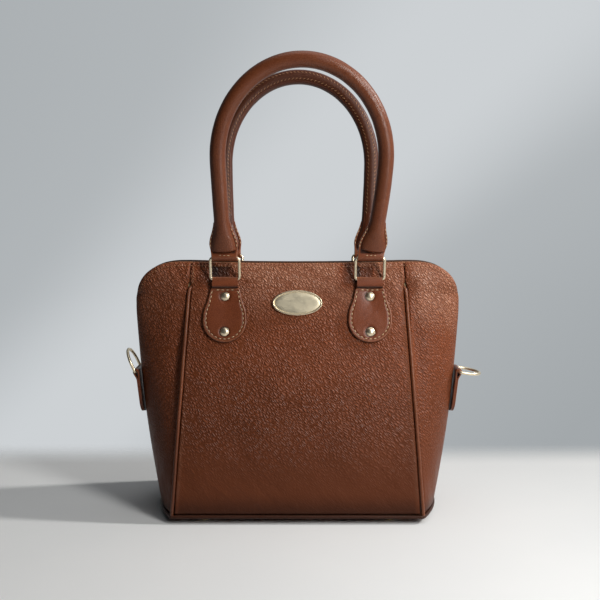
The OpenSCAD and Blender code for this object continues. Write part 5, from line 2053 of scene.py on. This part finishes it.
@dataclass
class Trim:
    """Badge and feet."""

    looks: Wardrobe
    badge_z: float = 215.0
    badge_w: float = 50.6
    badge_h: float = 26.0
    foot_x: float = 92.5
    foot_y: float = 52.0
    foot_r: float = 6.5

    def badge(self) -> None:
        """Builds the bare oval badge: a satin field in a raised, polished rim."""
        spot = BAG.panel_spot(0, self.badge_z)
        up = BAG.outer_normal(0, self.badge_z)
        third = up.cross(Vector((1, 0, 0)))

        def place(x: float, y: float, h: float) -> Vector:
            """The point at flat coordinates and a height."""
            return spot + Vector((1, 0, 0)) * x + third * y + up * (1.5 * h + 0.1)

        def oval(start: float) -> Rim:
            """The rim of an oval that lies a distance inside the badge's own."""
            wide, high = self.badge_w / 2, self.badge_h / 2

            def rim(angle: float, inset: float) -> tuple[float, float]:
                """Point of the oval's rim, moved in square to it."""
                c, s = math.cos(math.radians(angle)), math.sin(math.radians(angle))
                scale = (start + inset) / math.hypot(high * c, wide * s)
                return (wide - scale * high) * c, (high - scale * wide) * s

            return rim

        border = Workpiece()
        profile = [(2.5, 0.9), (2.1, 1.0), (1.85, 1.45), (1.45, 1.75), (0.85, 1.8), (0.35, 1.6),
                   (0.05, 1.15), (0.0, 0.6), (0.0, 0.0)]
        border.disc(oval(0), profile, 96, place, rings=3)
        border.finish("badge_rim", self.looks.metal, ["badge"])
        plate = Workpiece()
        profile = [(3.6, 1.34), (2.4, 1.27), (1.2, 1.12), (0.0, 0.9), (0.0, 0.2)]
        plate.disc(oval(1.9), profile, 96, place, rings=6)
        plate.finish("badge_field", self.looks.satin)

    def feet(self) -> None:
        """Builds four turned feet."""
        piece = Workpiece()
        r = self.foot_r
        profile = [(0.0, 0.0), (0.5 * r, 0.0), (0.66 * r, 0.25), (0.86 * r, 1.2), (0.98 * r, 2.6),
                   (r, 3.6), (0.97 * r, 4.3), (0.85 * r, 4.75), (0.34 * r, 4.8), (0.34 * r, 11.0),
                   (0.0, 11.0)]
        for sx in (-1, 1):
            for sy in (-1, 1):
                piece.turned(profile, 40, Matrix.Translation((sx * self.foot_x, sy * self.foot_y, 0)))
        piece.finish("feet_metal", self.looks.metal, ["feet"])

    def build(self) -> None:
        """Builds badge and feet."""
        self.badge()
        self.feet()


@dataclass
class Studio:
    """Camera, lamps, floor and backdrop."""

    camera_at: tuple[float, float, float] = (2.58, -850.0, 313.17)
    pitch: float = 6.5688
    lens: float = 49.5
    front_dim: float = 0.26
    left_dim: float = 0.35
    ambient: float = 0.35

    def camera(self) -> None:
        """Sets the camera where the photograph was taken from."""
        data = bpy.data.cameras.new("Camera")
        data.lens = self.lens
        data.sensor_width = 36.0
        data.clip_start = 0.01
        made = bpy.data.objects.new("Camera", data)
        made.location = Vector(self.camera_at) * MM
        made.rotation_euler = (math.radians(90 - self.pitch), 0, 0)
        bpy.context.scene.collection.objects.link(made)
        bpy.context.scene.camera = made

    def lamp(self, name: str, at: Vector, aim: Vector, size: tuple[float, float], power: float,
             colour: str = "FFFFFF") -> None:
        """Adds a soft rectangular lamp; places are in metres.

        Args:
            name: its name.
            at: its place.
            aim: what it points at.
            size: its width and height.
            power: its power in watts.
            colour: its sRGB hex colour.
        """
        data = bpy.data.lights.new(name, "AREA")
        data.shape = "RECTANGLE"
        data.size, data.size_y = size
        data.energy = power
        data.color = linear(colour)[:3]
        made = bpy.data.objects.new(name, data)
        made.location = at
        made.rotation_euler = (aim - at).to_track_quat("-Z", "Y").to_euler()
        bpy.context.scene.collection.objects.link(made)

    def floor(self) -> None:
        """Builds the floor."""
        piece = Workpiece()
        piece.grid(8, 8, lambda u, v: Vector((mix(-3000, 3000, u), mix(-3000, 3000, v), 0)))
        bm = piece.bm
        bmesh.ops.scale(bm, vec=(MM, MM, MM), verts=bm.verts)
        mesh = bpy.data.meshes.new("floor")
        bm.to_mesh(mesh)
        bm.free()
        mesh.materials.append(FloorPaint().build())
        made = bpy.data.objects.new("floor", mesh)
        bpy.context.scene.collection.objects.link(made)

    def world(self) -> None:
        """Sets the pale backdrop with its soft band of light, and a dim studio in front of it."""
        world = bpy.data.worlds.new("Backdrop")
        bpy.context.scene.world = world
        world.use_nodes = True
        tree = world.node_tree
        add = partial(add_node, tree)
        way = add("TexCoord", out="Generated")
        x, y, z = add("SeparateXYZ", {}, {0: way}, out=None)
        side = add("Math", {"operation": "MULTIPLY", 1: -0.7}, {0: x})
        band = add("Math", {"operation": "MULTIPLY_ADD", 1: 0.72}, {0: z, 2: side})
        off = add("Math", {"operation": "ABSOLUTE"}, {0: band})
        # The beam widens upwards
        narrow = add("MapRange", {
            "From Min": -0.1, "From Max": 0.25, "To Min": 1.0, "To Max": 0.62}, {"Value": z})
        away = add("Math", {"operation": "MULTIPLY"}, {0: off, 1: narrow})
        edge = add("MapRange", {
            "interpolation_type": "SMOOTHSTEP", "From Min": 0.03, "From Max": 0.17, "To Max": 0.62},
            {"Value": away})
        tail = add("MapRange", {"From Min": 0.1, "From Max": 0.4, "To Max": 0.38}, {"Value": away})
        dark = add("Math", {"operation": "ADD"}, {0: edge, 1: tail})
        pale = add("Mix", {
            "data_type": "RGBA", 6: linear("CDD1D4"), 7: linear("A3A8AB")}, {0: dark}, out=2)
        front = add("MapRange", {
            "interpolation_type": "SMOOTHSTEP", "From Min": -0.4, "From Max": 0.5,
            "To Min": self.front_dim, "To Max": 1.0}, {"Value": y})
        left = add("MapRange", {
            "interpolation_type": "SMOOTHSTEP", "From Min": -0.7, "From Max": 0.3,
            "To Min": self.left_dim, "To Max": 1.0}, {"Value": x})
        front = add("Math", {"operation": "MULTIPLY"}, {0: front, 1: left})
        rays = add("LightPath", out=None)
        mirrored = add("Math", {
            "operation": "ADD", "use_clamp": True}, {0: rays["Is Glossy Ray"],
            1: rays["Is Transmission Ray"]})
        share = add("MapRange", {"To Min": self.ambient, "To Max": 1.0}, {"Value": mirrored})
        unseen = add("Math", {"operation": "MULTIPLY"}, {0: front, 1: share})
        power = add("Mix", {"data_type": "FLOAT", 3: 1.0}, {0: rays["Is Camera Ray"], 2: unseen})
        set_up(tree, tree.nodes["Background"], {}, {"Color": pale, "Strength": power})

    def build(self) -> None:
        """Builds the studio."""
        self.camera()
        self.world()
        self.floor()
        middle = Vector((0, 0, 0.15))
        self.lamp("Key", Vector((2.59, 0.04, 2.03)), middle, (0.2, 0.2), 60.0, "FFFCF8")
        self.lamp("Window", Vector((0.44, -0.49, 0.6)), Vector((0, 0, 0.45)), (0.16, 0.7), 4.9, "FFFDFA")
        self.lamp("Top", Vector((0.2, 0.0, 1.8)), Vector((0, 0, 0)), (1.2, 1.2), 5.0)
        bpy.context.scene.view_settings.view_transform = "Standard"


def dress_hidden(frame: dict, looks: Wardrobe) -> None:
    """Gives the rigid CAD nodes that stay, all inside the bag, their looks.

    Args:
        looks: the bag's looks.
    """
    for name, material in (("base_board", looks.board), ("foot_nuts", looks.metal.material)):
        mesh = frame["nodes"][name].data
        mesh.materials.clear()
        mesh.materials.append(material)


def main() -> None:
    """Builds the bag and its studio."""
    logging.basicConfig(level=logging.INFO, format="%(name)s: %(message)s")
    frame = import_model()
    looks = Wardrobe()
    Studio().build()
    hangers = Hangers(looks)
    parts = [
        Shell(looks), Interior(looks), Zip(looks), hangers,
        Handle(looks, hangers, Face.FRONT, 163.5, 4.4),
        Handle(looks, hangers, Face.BACK, 155.5, 0.8),
        SideRings(looks), Trim(looks),
    ]
    for part in parts:
        part.build()
    dress_hidden(frame, looks)


if __name__ == "__main__":
    main()
